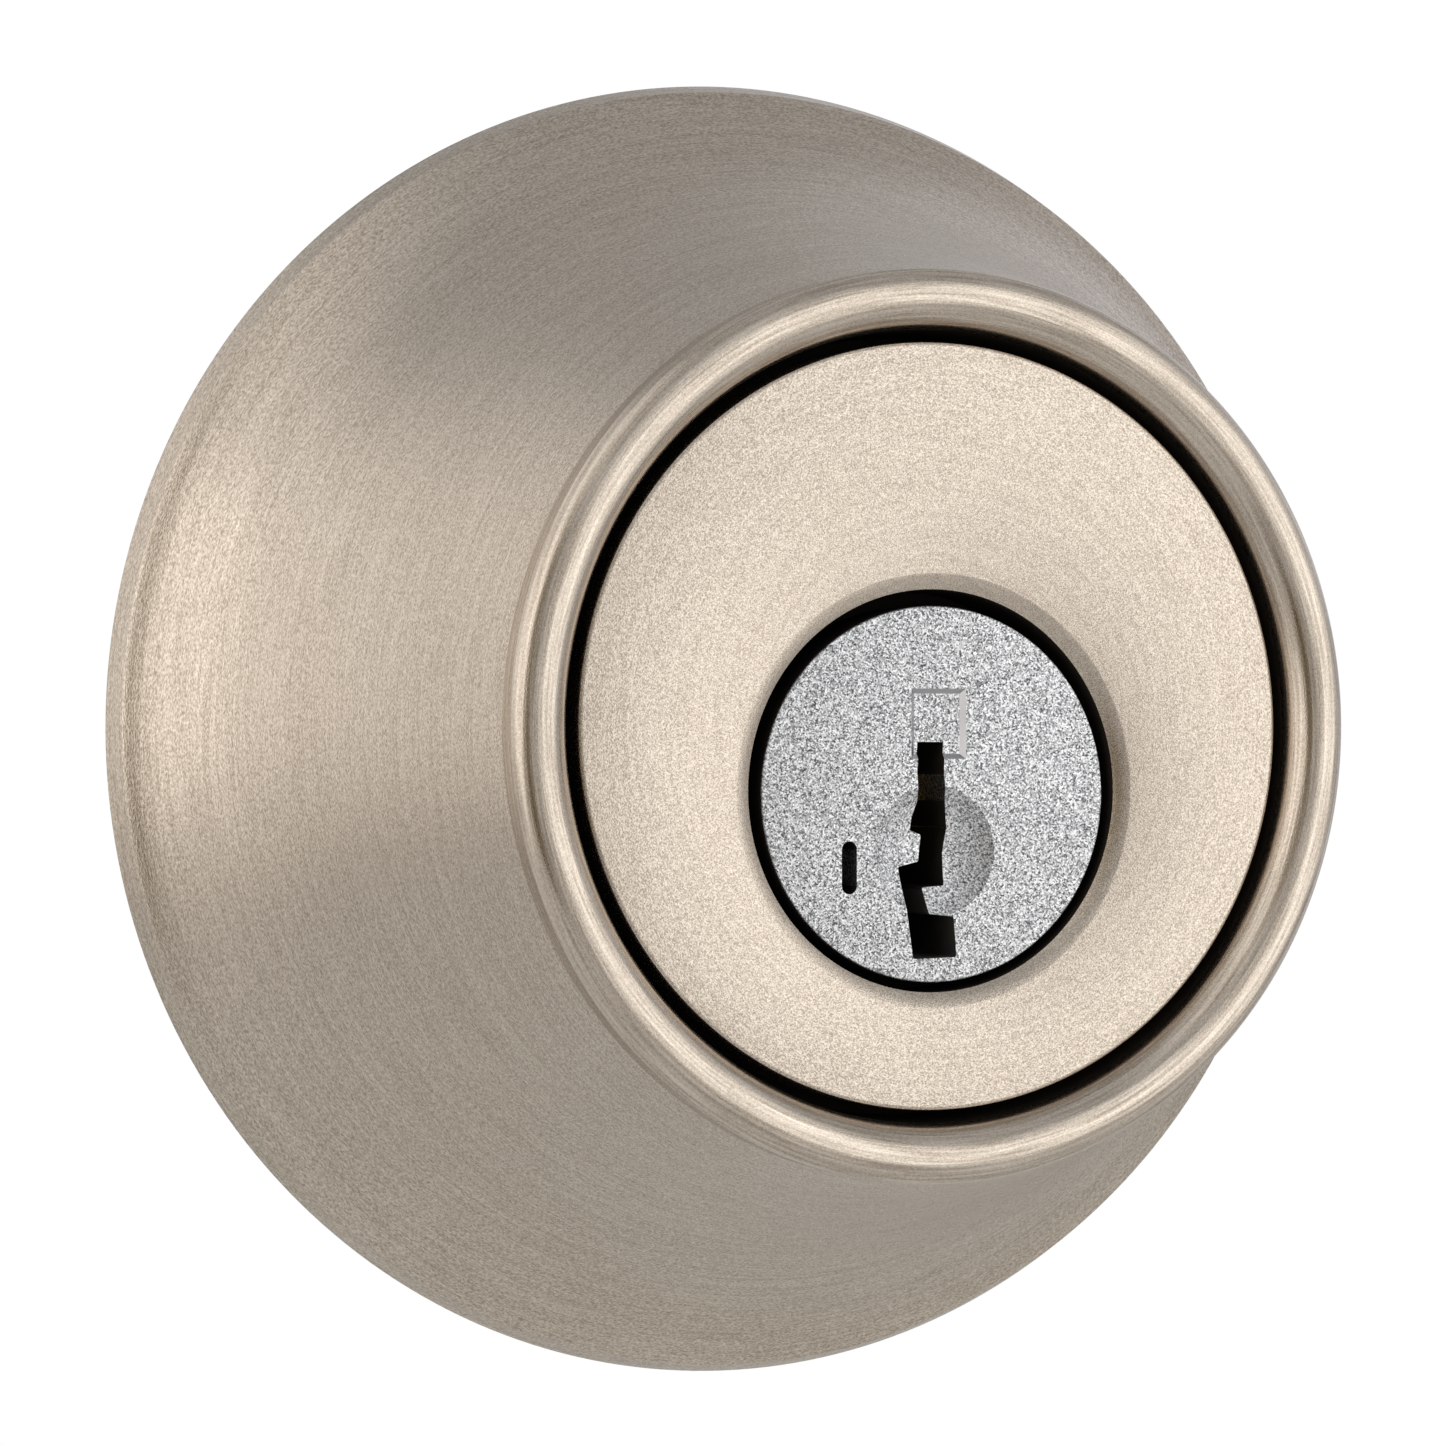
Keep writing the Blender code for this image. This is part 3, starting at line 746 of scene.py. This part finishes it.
@dataclass
class Collar:
    """The free-spinning guard: a hollow flare under a flattened bead.

    Radii and heights are in millimetres, from the collar's axis and back rim.
    """

    finishes: Finishes
    throat_radius: float = 17.46
    crest_radius: float = 18.92
    shoulder_radius: float = 20.08
    inner_rise: float = 1.5
    outer_rise: float = 0.85
    neck_height: float = 22.6
    knee: Point = (25.0, 4.6)
    rim_taper: float = 0.52
    rim_height: float = 1.4
    lip_radius: float = 15.9
    skirt_neck: Point = (19.6, 16.6)
    skirt_knee: Point = (24.2, 3.2)
    skirt_foot: Point = (29.9, 1.15)

    def outline(self) -> list[Point]:
        """Return the wall's section, from the throat over the bead and round the rim."""
        radius, top = radius_mm("collar") - 0.002, span_mm("collar")[1] - 0.002
        bead = []
        for turn in range(180, -1, -5):
            if turn > 90:
                reach, rise = self.crest_radius - self.throat_radius, self.inner_rise
            else:
                reach, rise = self.shoulder_radius - self.crest_radius, self.outer_rise
            along, up = math.cos(math.radians(turn)), math.sin(math.radians(turn))
            bead.append((self.crest_radius + reach * along, top - rise + rise * up))
        rim = (radius - self.rim_taper - 0.15, self.rim_height)
        flare = swept((self.shoulder_radius, self.neck_height), self.knee, rim, 48)
        wall = sharp(bead) + [(*flare[0], 0.6)] + sharp(flare[1:])
        wall += [(radius - self.rim_taper, self.rim_height - 0.1, 0.12), (radius, 0.0, 0.1)]
        wall += [(radius - 1.55, 0.0, 0.1), (radius - 1.55, self.skirt_foot[1], 0.2)]
        wall += sharp(swept(self.skirt_foot, self.skirt_knee, self.skirt_neck, 20))
        wall += [(19.2, 17.4, 0.2), (self.lip_radius, 17.4, 0.15), (self.lip_radius, 18.8, 0.15)]
        wall += [(self.throat_radius, 18.8, 0.2)]
        return rounded(wall)

    def build(self) -> None:
        """Turn the collar, put it on its body, brush and plate its parts, and paint shade into its throat."""
        piece = turned("collar_shell", self.outline(), 256, closed=True)
        dress = [self.finishes.collar, self.finishes.bead, self.finishes.shadow]
        finished(piece, Facing.COLLAR, "collar", ["collar"], dress)
        for face in piece.data.polygons:
            height, radius = -face.center.y / MM, math.hypot(face.center.x, face.center.z) / MM
            # Painted shade: the throat's inner wall, down in the gap behind the bead, takes the near-black
            # shade material.
            if 17.2 < height < 22.6 and radius < self.throat_radius + 0.05:
                face.material_index = 2
            elif height > self.neck_height + 0.2:
                face.material_index = 1


@dataclass
class CylinderBody:
    """The cast body: a plated disc on a grooved neck, with a barrel and two posts."""

    finishes: Finishes
    disc_radius: float = 16.9
    disc_face: float = 23.3
    disc_back: float = 19.1
    neck_radius: float = 15.6
    neck_back: float = 13.4
    barrel_radius: float = 10.2
    barrel_back: float = -9.0
    bore_radius: float = 8.1
    mouth_radius: float = 8.87
    mouth_bevel: float = 9.6
    mouth_depth: float = 0.36
    mouth_shift: Point = (-0.1, 0.15)
    post_radius: float = 3.1
    post_back: float = -13.0
    plated_above: float = 19.0

    def disc(self) -> bpy.types.Object:
        """Return the disc and neck, turned about the collar's axis."""
        section = [(0.0, self.disc_face, 0.0), (self.disc_radius, self.disc_face, 0.22)]
        section += [(self.disc_radius, self.disc_back, 0.2)]
        section += [(self.neck_radius, self.disc_back, 0.2), (self.neck_radius, 15.5, 0.1), (14.7, 15.5, 0.1)]
        section += [(14.7, 14.1, 0.1), (self.neck_radius, 14.1, 0.1), (self.neck_radius, self.neck_back, 0.3)]
        section += [(0.0, self.neck_back, 0.0)]
        return turned("cylinder_casting", rounded(section, closed=False), 256)

    def drop(self, obj: bpy.types.Object) -> bpy.types.Object:
        """Move a piece drawn about the plug's axis to where the collar's drawing has it."""
        shift = (Facing.PLUG.height - Facing.COLLAR.height) / MM
        obj.data.transform(Matrix.Translation((0.0, shift, 0.0)))
        return obj

    def bore(self) -> bpy.types.Object:
        """Return the straight bore, as a cutter."""
        section = [(0.0, -20.0), (self.bore_radius, -20.0), (self.bore_radius, 26.0), (0.0, 26.0)]
        return turned("bore_cutter", section, 256)

    def mouth(self) -> bpy.types.Object:
        """Return the cutter of the wider mouth, which rolls over into the disc's face."""
        edge, face = (self.mouth_radius, self.disc_face - self.mouth_depth), self.disc_face
        roll = swept(edge, (self.mouth_radius + 0.33, face - 0.13), (self.mouth_bevel, face), 10)
        section = [(0.0, 19.5), (self.mouth_radius, 19.5), *roll, (self.mouth_bevel + 1.5, face + 0.02)]
        cutter = turned("mouth_cutter", [*section, (self.mouth_bevel + 1.5, 26.0), (0.0, 26.0)], 256)
        cutter.data.transform(Matrix.Translation((*self.mouth_shift, 0.0)))
        return cutter

    def build(self) -> None:
        """Join, bore and dress the body."""
        body = self.disc()
        barrel = self.drop(round_bar("barrel", (0.0, 0.0), self.barrel_radius, self.barrel_back, 13.8, 128))
        posts = []
        holes = []
        for side in (-1.0, 1.0):
            middle = (side * POST_OFFSET, 0.0)
            posts.append(self.drop(round_bar("post", middle, self.post_radius, self.post_back, 13.8)))
            holes.append(self.drop(round_bar("screw_hole", middle, 1.9, self.post_back - 5.0, 6.0, 48)))
        combined(body, "UNION", [barrel, *posts])
        softened(body, 0.25, 50.0)
        grooves = []
        for angle in (90.0, 180.0, 270.0):
            spot = arc((0.0, 0.0), self.bore_radius - 0.35, angle, angle, 1)[0]
            diamond = arc(spot, 1.2, 0.0, 270.0, 3)
            grooves.append(self.drop(extruded("locking_groove", diamond, -2.6, 18.6)))
        combined(body, "DIFFERENCE", [self.drop(self.bore()), self.drop(self.mouth()), *holes, *grooves])
        piece = finished(
            body,
            Facing.COLLAR,
            "housing",
            ["cylinder_body"],
            [self.finishes.disc, self.finishes.casting, self.finishes.shadow],
        )
        for face in piece.data.polygons:
            height, drop = -face.center.y / MM, (face.center.z - Facing.PLUG.height) / MM
            inside = math.hypot(face.center.x / MM, drop) < self.mouth_radius + 0.3
            if height < self.plated_above:
                face.material_index = 1
            # Painted shade: the bore's wall under the mouth, in the gap round the plug, takes the near-black
            # shade material.
            elif inside and height < self.disc_face - self.mouth_depth - 0.02:
                face.material_index = 2


@dataclass
class Plug:
    """The plug that the key turns: blasted face, key slot, tool slot and its bores."""

    finishes: Finishes
    face: float = 22.8
    face_radius: float = 8.3
    radius: float = 7.9
    split_x: float = -1.9
    square: tuple[Point, Point] = ((-1.13, 1.55), (1.53, 4.65))

    def section(self) -> list[Point]:
        """Return the turned blank's section, with a small chamfer round its face."""
        corners = [(0.0, self.face, 0.0), (self.face_radius, self.face, 0.12), (self.face_radius, 19.8, 0.1)]
        corners += [(self.radius, 19.8, 0.05), (self.radius, -9.15, 0.05), (7.0, -9.15, 0.05)]
        corners += [(7.0, -10.2, 0.05), (self.radius, -10.2, 0.05), (self.radius, -11.5, 0.2)]
        corners += [(0.0, -11.5, 0.0)]
        return rounded(corners, closed=False)

    def key_slot(self) -> list[Point]:
        """Return the outline of the warded key slot."""
        right = [(0.50, 2.3, 0.06), (0.45, 0.9, 0.4), (0.60, -0.3, 0.4), (0.80, -1.5, 0.3), (0.63, -2.6, 0.4)]
        right += [(0.63, -4.05, 0.08), (-0.45, -4.12, 0.08), (-0.25, -5.28, 0.08), (0.92, -5.4, 0.15)]
        right += [(1.06, -7.2, 0.15)]
        left = [(-1.05, -7.25, 0.15), (-1.62, -3.2, 0.1), (-0.55, -2.98, 0.1), (-0.42, -1.8, 0.1)]
        left += [(-1.00, -1.6, 0.1), (-0.95, -1.0, 0.3), (-0.75, -0.3, 0.4), (-0.85, 0.9, 0.4)]
        left += [(-0.75, 2.3, 0.06)]
        return rounded(right + left)

    def tool_slot(self) -> list[Point]:
        """Return the outline of the upright slot beside the key slot."""
        middle, half, rise = (-4.12, -3.2), 0.36, 0.8
        top = arc((middle[0], middle[1] + rise), half, 0.0, 180.0, 12)
        return top + arc((middle[0], middle[1] - rise), half, 180.0, 360.0, 12)

    def square_recess(self) -> bpy.types.Object:
        """Return the cutter of the shallow square above the key slot, with sloping sides."""
        (low, high), slope = self.square, 0.22
        form = bmesh.new()
        rings = []
        for inset, height in ((slope, self.face - 0.2), (0.0, self.face), (-2.0 * slope, self.face + 0.4)):
            corners = [(low[0] + inset, low[1] + inset), (high[0] - inset, low[1] + inset)]
            corners += [(high[0] - inset, high[1] - inset), (low[0] + inset, high[1] - inset)]
            rings.append([form.verts.new((x, y, height)) for x, y in corners])
        form.faces.new(rings[0])
        form.faces.new(rings[-1])
        for lower, upper in zip(rings, rings[1:]):
            for i in range(4):
                form.faces.new((lower[i], lower[i - 1], upper[i - 1], upper[i]))
        bmesh.ops.recalc_face_normals(form, faces=form.faces)
        return formed("square_recess", form)

    def dimple(self) -> bpy.types.Object:
        """Return the cutter of the shallow dish round the key slot."""
        width, depth = 2.9, 0.6
        ball = (width**2 + depth**2) / (2.0 * depth)
        lift = ball - depth
        reach = math.degrees(math.asin(width / ball)) + 1.5
        section = arc((0.0, self.face + lift), ball, -90.0, -90.0 + reach, 10)
        dish = turned("dimple", section + [(0.0, section[-1][1])], 96)
        dish.data.transform(Matrix.Translation((0.0, -2.5, 0.0)))
        return dish

    def build(self) -> None:
        """Turn the blank, cut it and dress it."""
        plug = turned("plug_core", self.section(), 256)
        channels = []
        for number in range(5):
            station = FIRST_PIN - PIN_PITCH * number
            bar = round_bar("channel", (0.0, 0.0), 1.62, -4.6, 9.0, 40)
            upright = Matrix.Rotation(math.radians(-90.0), 4, "X")
            bar.data.transform(Matrix.Translation((PIN_X, 0.0, station)) @ upright)
            channels.append(bar)
        cutters = [
            block("side_cavity", (-9.0, -9.0, -4.4), (self.split_x, 9.0, 19.0)),
            block("tooth_room", (-3.0, -3.0, -4.4), (-1.5, 5.5, 19.0)),
            extruded("key_slot", self.key_slot(), -3.0, self.face + 1.0),
            *channels,
            block("cap_seat", (-3.0, 6.95, -1.2), (1.4, 9.0, 18.6)),
            extruded("tool_slot", self.tool_slot(), 18.5, self.face + 1.0),
            extruded("drive_cup", bow_tie(6.4, 4.2, 67.5), -13.0, -6.0),
            round_bar("cup_mouth", (0.0, 0.0), 6.5, -13.0, -10.4, 96),
            self.square_recess(),
            self.dimple(),
        ]
        combined(plug, "DIFFERENCE", cutters)
        piece = finished(
            plug,
            Facing.PLUG,
            "plug",
            ["plug"],
            [self.finishes.plug, self.finishes.casting, self.finishes.shadow, self.finishes.coined],
            crease=20.0,
        )
        low, high = self.square
        for face in piece.data.polygons:
            across, height = face.center.x / MM, -face.center.y / MM
            up = (face.center.z - Facing.PLUG.height) / MM
            in_square = low[0] - 0.1 < across < high[0] + 0.1 and low[1] - 0.1 < up < high[1] + 0.1
            rim = math.hypot(across, up) > self.face_radius - 0.1
            if height < 19.5:
                face.material_index = 1
            # Partly painted highlight: the square recess's walls take the smoother, lighter coined zinc, so
            # that they show a line of light.
            elif in_square and height > self.face - 0.3 and abs(face.normal.y) < 0.95:
                face.material_index = 3
            # Painted shade: the deep walls of the slots and the side of the face's flange, in the gap, take
            # the near-black shade material.
            elif height < self.face - 0.6 or (rim and height < self.face - 0.14):
                face.material_index = 2


def bow_tie(wide: float, narrow: float, half_angle: float) -> list[Point]:
    """Return an outline of one radius in two facing sectors and a smaller one between."""
    points: list[Point] = []
    for middle in (0.0, 180.0):
        points += arc((0.0, 0.0), wide, middle - half_angle, middle + half_angle, 24)
        points += arc((0.0, 0.0), narrow, middle + half_angle, middle + 180.0 - half_angle, 24)
    return points


@dataclass
class Adapter:
    """The black plate behind the collar, with the ring that fills the hole in the door."""

    finishes: Finishes
    radius: float = 29.4
    thickness: float = 1.2
    ring: tuple[float, float] = (25.2, 26.9)
    ring_back: float = -5.0
    barrel_hole: float = 10.6
    post_hole: float = 3.5

    def build(self) -> None:
        """Turn the plate and ring, and cut the holes for the barrel and the posts."""
        inner, outer = self.ring
        section = [(0.0, self.thickness, 0.0), (self.radius, self.thickness, 0.25), (self.radius, 0.0, 0.2)]
        section += [(outer, 0.0, 0.2), (outer, self.ring_back, 0.3), (inner, self.ring_back, 0.2)]
        section += [(inner, 0.0, 0.2), (0.0, 0.0, 0.0)]
        plate = turned("adapter_plate", rounded(section, closed=False), 192)
        drop = (Facing.PLUG.height - Facing.COLLAR.height) / MM
        holes = [round_bar("barrel_hole", (0.0, drop), self.barrel_hole, -2.0, 3.0, 128)]
        holes += [
            round_bar("post_hole", (side * POST_OFFSET, drop), self.post_hole, -2.0, 3.0)
            for side in (-1.0, 1.0)
        ]
        combined(plate, "DIFFERENCE", holes)
        finished(plate, Facing.COLLAR, "housing", ["bore_adapter"], [self.finishes.plastic])


@dataclass
class Blade:
    """The torque blade: a hub with two wings, and a long bar with a D section."""

    finishes: Finishes
    wing_radius: float = 6.1
    hub_radius: float = 3.9
    wing_angle: float = 21.5
    hub_span: tuple[float, float] = (-10.2, -6.3)
    bar_radius: float = 3.1
    bar_flat: float = 1.2
    bar_back: float = -45.998

    def build(self) -> None:
        """Join the bar to the hub and break the edges."""
        low, high = self.hub_span
        blade = extruded("torque_bar", bow_tie(self.wing_radius, self.hub_radius, self.wing_angle), low, high)
        start = math.degrees(math.acos(self.bar_flat / self.bar_radius))
        section = arc((0.0, 0.0), self.bar_radius, start, 360.0 - start, 48)
        combined(blade, "UNION", [extruded("bar", section, self.bar_back, high - 1.0)])
        softened(blade, 0.15, 40.0)
        finished(blade, Facing.PLUG, "blade", ["torque_blade"], [self.finishes.steel])


@dataclass(frozen=True)
class Spring:
    """A coil spring, wound at one length, with the joint that presses it in the lock.

    Lengths are in millimetres, along the drawing's axis that the spring lies on.
    Anchor_end is 0 where the spring's low end stays still, and 1 for its high end.
    """

    node: str
    joint: str
    upright: bool
    place: tuple[float, float, float]
    span: tuple[float, float]
    radius: float
    travel: float
    anchor_end: int
    wire: float = 0.16
    turns: float = 5.0

    def build(self, material: bpy.types.Material) -> None:
        """Wind the spring and put it in its channel."""
        low, high = self.span
        coil = new_object(f"{self.node}_coil", bpy.data.meshes.new(self.node))
        rise = high - low - 2.0 * self.wire
        run_tree(coil, spring_tree(), Radius=self.radius, Wire=self.wire, Rise=rise, Turns=self.turns)
        axis = Matrix.Rotation(math.radians(-90.0), 4, "X") if self.upright else Matrix.Identity(4)
        foot = Matrix.Translation((0.0, 0.0, low + self.wire))
        coil.data.transform(Matrix.Translation(self.place) @ axis @ foot)
        finished(coil, Facing.PLUG, "plug", [self.node], [material], crease=60.0)
        along = Vector((0.0, 1.0, 0.0)) if self.upright else Vector((0.0, 0.0, 1.0))
        end = Facing.PLUG.matrix() @ (Vector(self.place) + along * self.span[self.anchor_end])
        axis_in_room = Facing.PLUG.matrix().to_3x3() @ along
        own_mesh(coil)


@dataclass
class Springs:
    """The five pin springs and the carrier's spring."""

    finishes: Finishes
    pin_span: tuple[float, float] = (1.75, 6.9)
    pin_coil: float = 1.15
    pin_lift: float = 2.8
    carrier_place: tuple[float, float, float] = (-4.2, -4.6, 0.0)
    carrier_span: tuple[float, float] = (-5.1, -0.4)
    carrier_coil: float = 1.0
    carrier_travel: float = 2.0

    def springs(self) -> list[Spring]:
        """Return every spring."""
        springs = []
        for number in range(1, 6):
            place = (PIN_X, 0.0, FIRST_PIN - PIN_PITCH * (number - 1))
            names = (f"pin_spring_{number}", f"pin_{number}_lift")
            springs.append(Spring(*names, True, place, self.pin_span, self.pin_coil, self.pin_lift, 1))
        place, reach = self.carrier_place, self.carrier_span
        size = (self.carrier_coil, self.carrier_travel, 0)
        springs.append(Spring("carrier_spring", "carrier_slide", False, place, reach, *size))
        return springs

    def build(self) -> None:
        """Wind every spring."""
        for spring in self.springs():
            spring.build(self.finishes.spring)


@dataclass
class Innards:
    """The CAD nodes that keep their shape and take a better finish."""

    finishes: Finishes

    def dress(self) -> None:
        """Give every node that is still shown its finish."""
        finishes = self.finishes
        by_prefix = {
            "bar_spring": finishes.spring,
            "pin_cap": finishes.casting,
            "pin_": finishes.brass,
            "rack_": finishes.steel,
            "locking_bar": finishes.brass,
            "carrier": finishes.casting,
            "anti_drill": finishes.steel,
            "snap_ring": finishes.steel,
            "friction_washer": finishes.steel,
            "plug_clip": finishes.steel,
            "blade_cap": finishes.steel,
        }
        for name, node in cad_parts.items():
            for prefix, material in by_prefix.items():
                if name.startswith(prefix):
                    for slot in node.material_slots:
                        slot.material = material
                    break


# ----------------------------------------------------------------------- studio


@dataclass(frozen=True)
class Softbox:
    """A softbox that faces the lock, placed by its direction from it.

    Azimuth counts from straight out of the door, positive to the right, and
    both angles are in degrees. Brightness is what a mirror would show of it.
    """

    name: str
    azimuth: float
    elevation: float
    distance: float
    width: float
    height: float
    brightness: float
    colour: str = "#FFFFFF"

    def place(self) -> bpy.types.Object:
        """Return the direction, size and strength as an area light in the scene."""
        lamp = bpy.data.lights.new(self.name, "AREA")
        lamp.shape = "RECTANGLE"
        lamp.size = self.width
        lamp.size_y = self.height
        lamp.energy = self.brightness * math.pi * self.width * self.height
        lamp.color = linear(self.colour)[:3]
        obj = new_object(self.name, lamp)
        turn, rise = math.radians(self.azimuth), math.radians(self.elevation)
        away = Vector((math.sin(turn) * math.cos(rise), -math.cos(turn) * math.cos(rise), math.sin(rise)))
        obj.location = away * self.distance
        obj.rotation_euler = away.to_track_quat("Z", "Y").to_euler()
        return obj


@dataclass(frozen=True)
class Wash:
    """A soft patch of light on the room's walls, which fades out at its edge.

    Azimuth counts from straight out of the door, positive to the right, and
    every angle is in degrees. A negative brightness stands for a dark flag.
    """

    azimuth: float
    elevation: float
    half_width: float
    half_height: float
    feather: tuple[float, float]
    brightness: float
    colour: str = "#FFFFFF"

    def add(self, tree: bpy.types.NodeTree, azimuth: Any, elevation: Any) -> Any:
        """Add the patch to the room's shader.

        Args:
            tree: The world's tree.
            azimuth: The socket that holds each direction's azimuth.
            elevation: The socket that holds its elevation.

        Returns:
            The socket that holds the patch's light.
        """
        aside = math_node(tree, "WRAP", math_node(tree, "SUBTRACT", azimuth, self.azimuth), 180.0, -180.0)
        above = math_node(tree, "SUBTRACT", elevation, self.elevation)
        mask: Any = self.brightness
        for offset, half, feather in (
            (aside, self.half_width, self.feather[0]),
            (above, self.half_height, self.feather[1]),
        ):
            fade = add_node(
                tree,
                "ShaderNodeMapRange",
                {
                    "Value": math_node(tree, "ABSOLUTE", offset),
                    "From Min": half + feather,
                    "From Max": half - feather,
                },
                interpolation_type="SMOOTHSTEP",
            ).outputs[0]
            mask = math_node(tree, "MULTIPLY", fade, mask)
        light = add_node(
            tree,
            "ShaderNodeVectorMath",
            {0: linear(self.colour)[:3], "Scale": mask},
            operation="SCALE",
        )
        return light.outputs[0]


@dataclass
class Studio:
    """The pale floor, the white surround, the softboxes and the camera."""

    camera_azimuth: float = -22.3
    camera_elevation: float = -0.34
    camera_distance: float = 0.1916
    lens_mm: float = 96.6
    target: tuple[float, float, float] = (-0.000753, 0.0, 0.000277)

    def softboxes(self) -> list[Softbox]:
        """Return the two lamps that light the face and the left side."""
        return [
            Softbox("front_right_box", 42.0, 0.0, 0.7, 0.62, 0.7, 0.4, "#FFFEFC"),
            Softbox("left_box", -68.0, 12.0, 0.7, 0.66, 0.5, 0.35, "#FFF9F2"),
        ]

    def washes(self) -> list[Wash]:
        """Return the soft patches on the walls, from the left side round to the back."""
        return [
            Wash(-66.0, 14.0, 44.0, 40.0, (18.0, 30.0), 0.64, "#FFF9F0"),
            Wash(-134.0, 14.0, 28.0, 28.0, (14.0, 18.0), 0.5, "#FFF9F0"),
            Wash(36.0, 0.0, 33.0, 34.0, (17.0, 14.0), 0.68, "#FFFDF8"),
            Wash(120.0, 0.0, 34.0, 40.0, (15.0, 16.0), 0.36, "#E8EEFF"),
            Wash(-36.0, 0.0, 12.0, 32.0, (8.0, 15.0), -0.82),
        ]

    def surround(self) -> None:
        """Make the white surround and the pale floor, well clear of the lock."""
        material, tree, shader = new_surface("white_surround")
        glow = add_node(tree, "ShaderNodeEmission", {"Color": (1.0, 1.0, 1.0, 1.0), "Strength": 1.0})
        tree.links.new(glow.outputs[0], tree.nodes["Material Output"].inputs["Surface"])
        tree.nodes.remove(shader)
        form = bmesh.new()
        bmesh.ops.create_icosphere(form, subdivisions=4, radius=2.5)
        dome = formed("surround", form)
        dome.data.materials.append(material)
        dome.visible_diffuse = dome.visible_glossy = dome.visible_transmission = dome.visible_shadow = False
        floor_paint, floor_tree, floor_shader = new_surface("pale_floor")
        floor_shader.inputs["Base Color"].default_value = linear("#ECECEA")
        floor_shader.inputs["Roughness"].default_value = 0.7
        form = bmesh.new()
        bmesh.ops.create_grid(form, x_segments=1, y_segments=1, size=0.7)
        floor = formed("floor", form)
        floor.data.transform(Matrix.Translation((0.0, 0.0, -0.3)))
        floor.data.materials.append(floor_paint)

    def world(self) -> None:
        """Paint the room: a dim floor side, a paler ceiling side and the patches of light."""
        world = bpy.data.worlds.new("studio")
        bpy.context.scene.world = world
        world.use_nodes = True
        tree = world.node_tree
        view = add_node(tree, "ShaderNodeTexCoord").outputs["Generated"]
        away = add_node(tree, "ShaderNodeSeparateXYZ", {0: view})
        east, north, up = away.outputs
        front = math_node(tree, "MULTIPLY", north, -1.0)
        azimuth = math_node(tree, "DEGREES", math_node(tree, "ARCTAN2", east, front))
        elevation = math_node(tree, "DEGREES", math_node(tree, "ARCSINE", up))
        rise = add_node(
            tree,
            "ShaderNodeMapRange",
            {"Value": elevation, "From Min": -40.0, "From Max": 50.0},
            interpolation_type="SMOOTHSTEP",
        ).outputs[0]
        total = add_node(
            tree,
            "ShaderNodeMix",
            {"Factor": rise, "A": (0.31, 0.295, 0.275, 1.0), "B": (0.445, 0.445, 0.44, 1.0)},
            data_type="RGBA",
        ).outputs["Result"]
        for wash in self.washes():
            light = wash.add(tree, azimuth, elevation)
            total = add_node(tree, "ShaderNodeVectorMath", {0: total, 1: light}, operation="ADD").outputs[0]
        tree.links.new(total, tree.nodes["Background"].inputs["Color"])

    def camera(self) -> None:
        """Aim the camera at the lock."""
        data = bpy.data.cameras.new("camera")
        data.lens = self.lens_mm
        data.sensor_width = 36.0
        data.clip_start = 0.01
        camera = new_object("camera", data)
        turn, rise = math.radians(self.camera_azimuth), math.radians(self.camera_elevation)
        away = Vector((math.sin(turn) * math.cos(rise), -math.cos(turn) * math.cos(rise), math.sin(rise)))
        camera.location = Vector(self.target) + away * self.camera_distance
        camera.rotation_euler = away.to_track_quat("Z", "Y").to_euler()
        bpy.context.scene.camera = camera

    def build(self) -> None:
        """Set up the camera, the lights and the room."""
        self.camera()
        for box in self.softboxes():
            box.place()
        self.surround()
        self.world()
        bpy.context.scene.view_settings.view_transform = "Standard"


# ------------------------------------------------------------------------- main


def main() -> None:
    """Build the lock, sub-assembly by sub-assembly, and light it."""
    logging.basicConfig(level=logging.INFO, format="%(message)s")
    finishes = Finishes.make()
    Studio().build()
    Collar(finishes).build()
    CylinderBody(finishes).build()
    Plug(finishes).build()
    Adapter(finishes).build()
    Blade(finishes).build()
    Springs(finishes).build()
    Innards(finishes).dress()


if __name__ == "__main__":
    main()
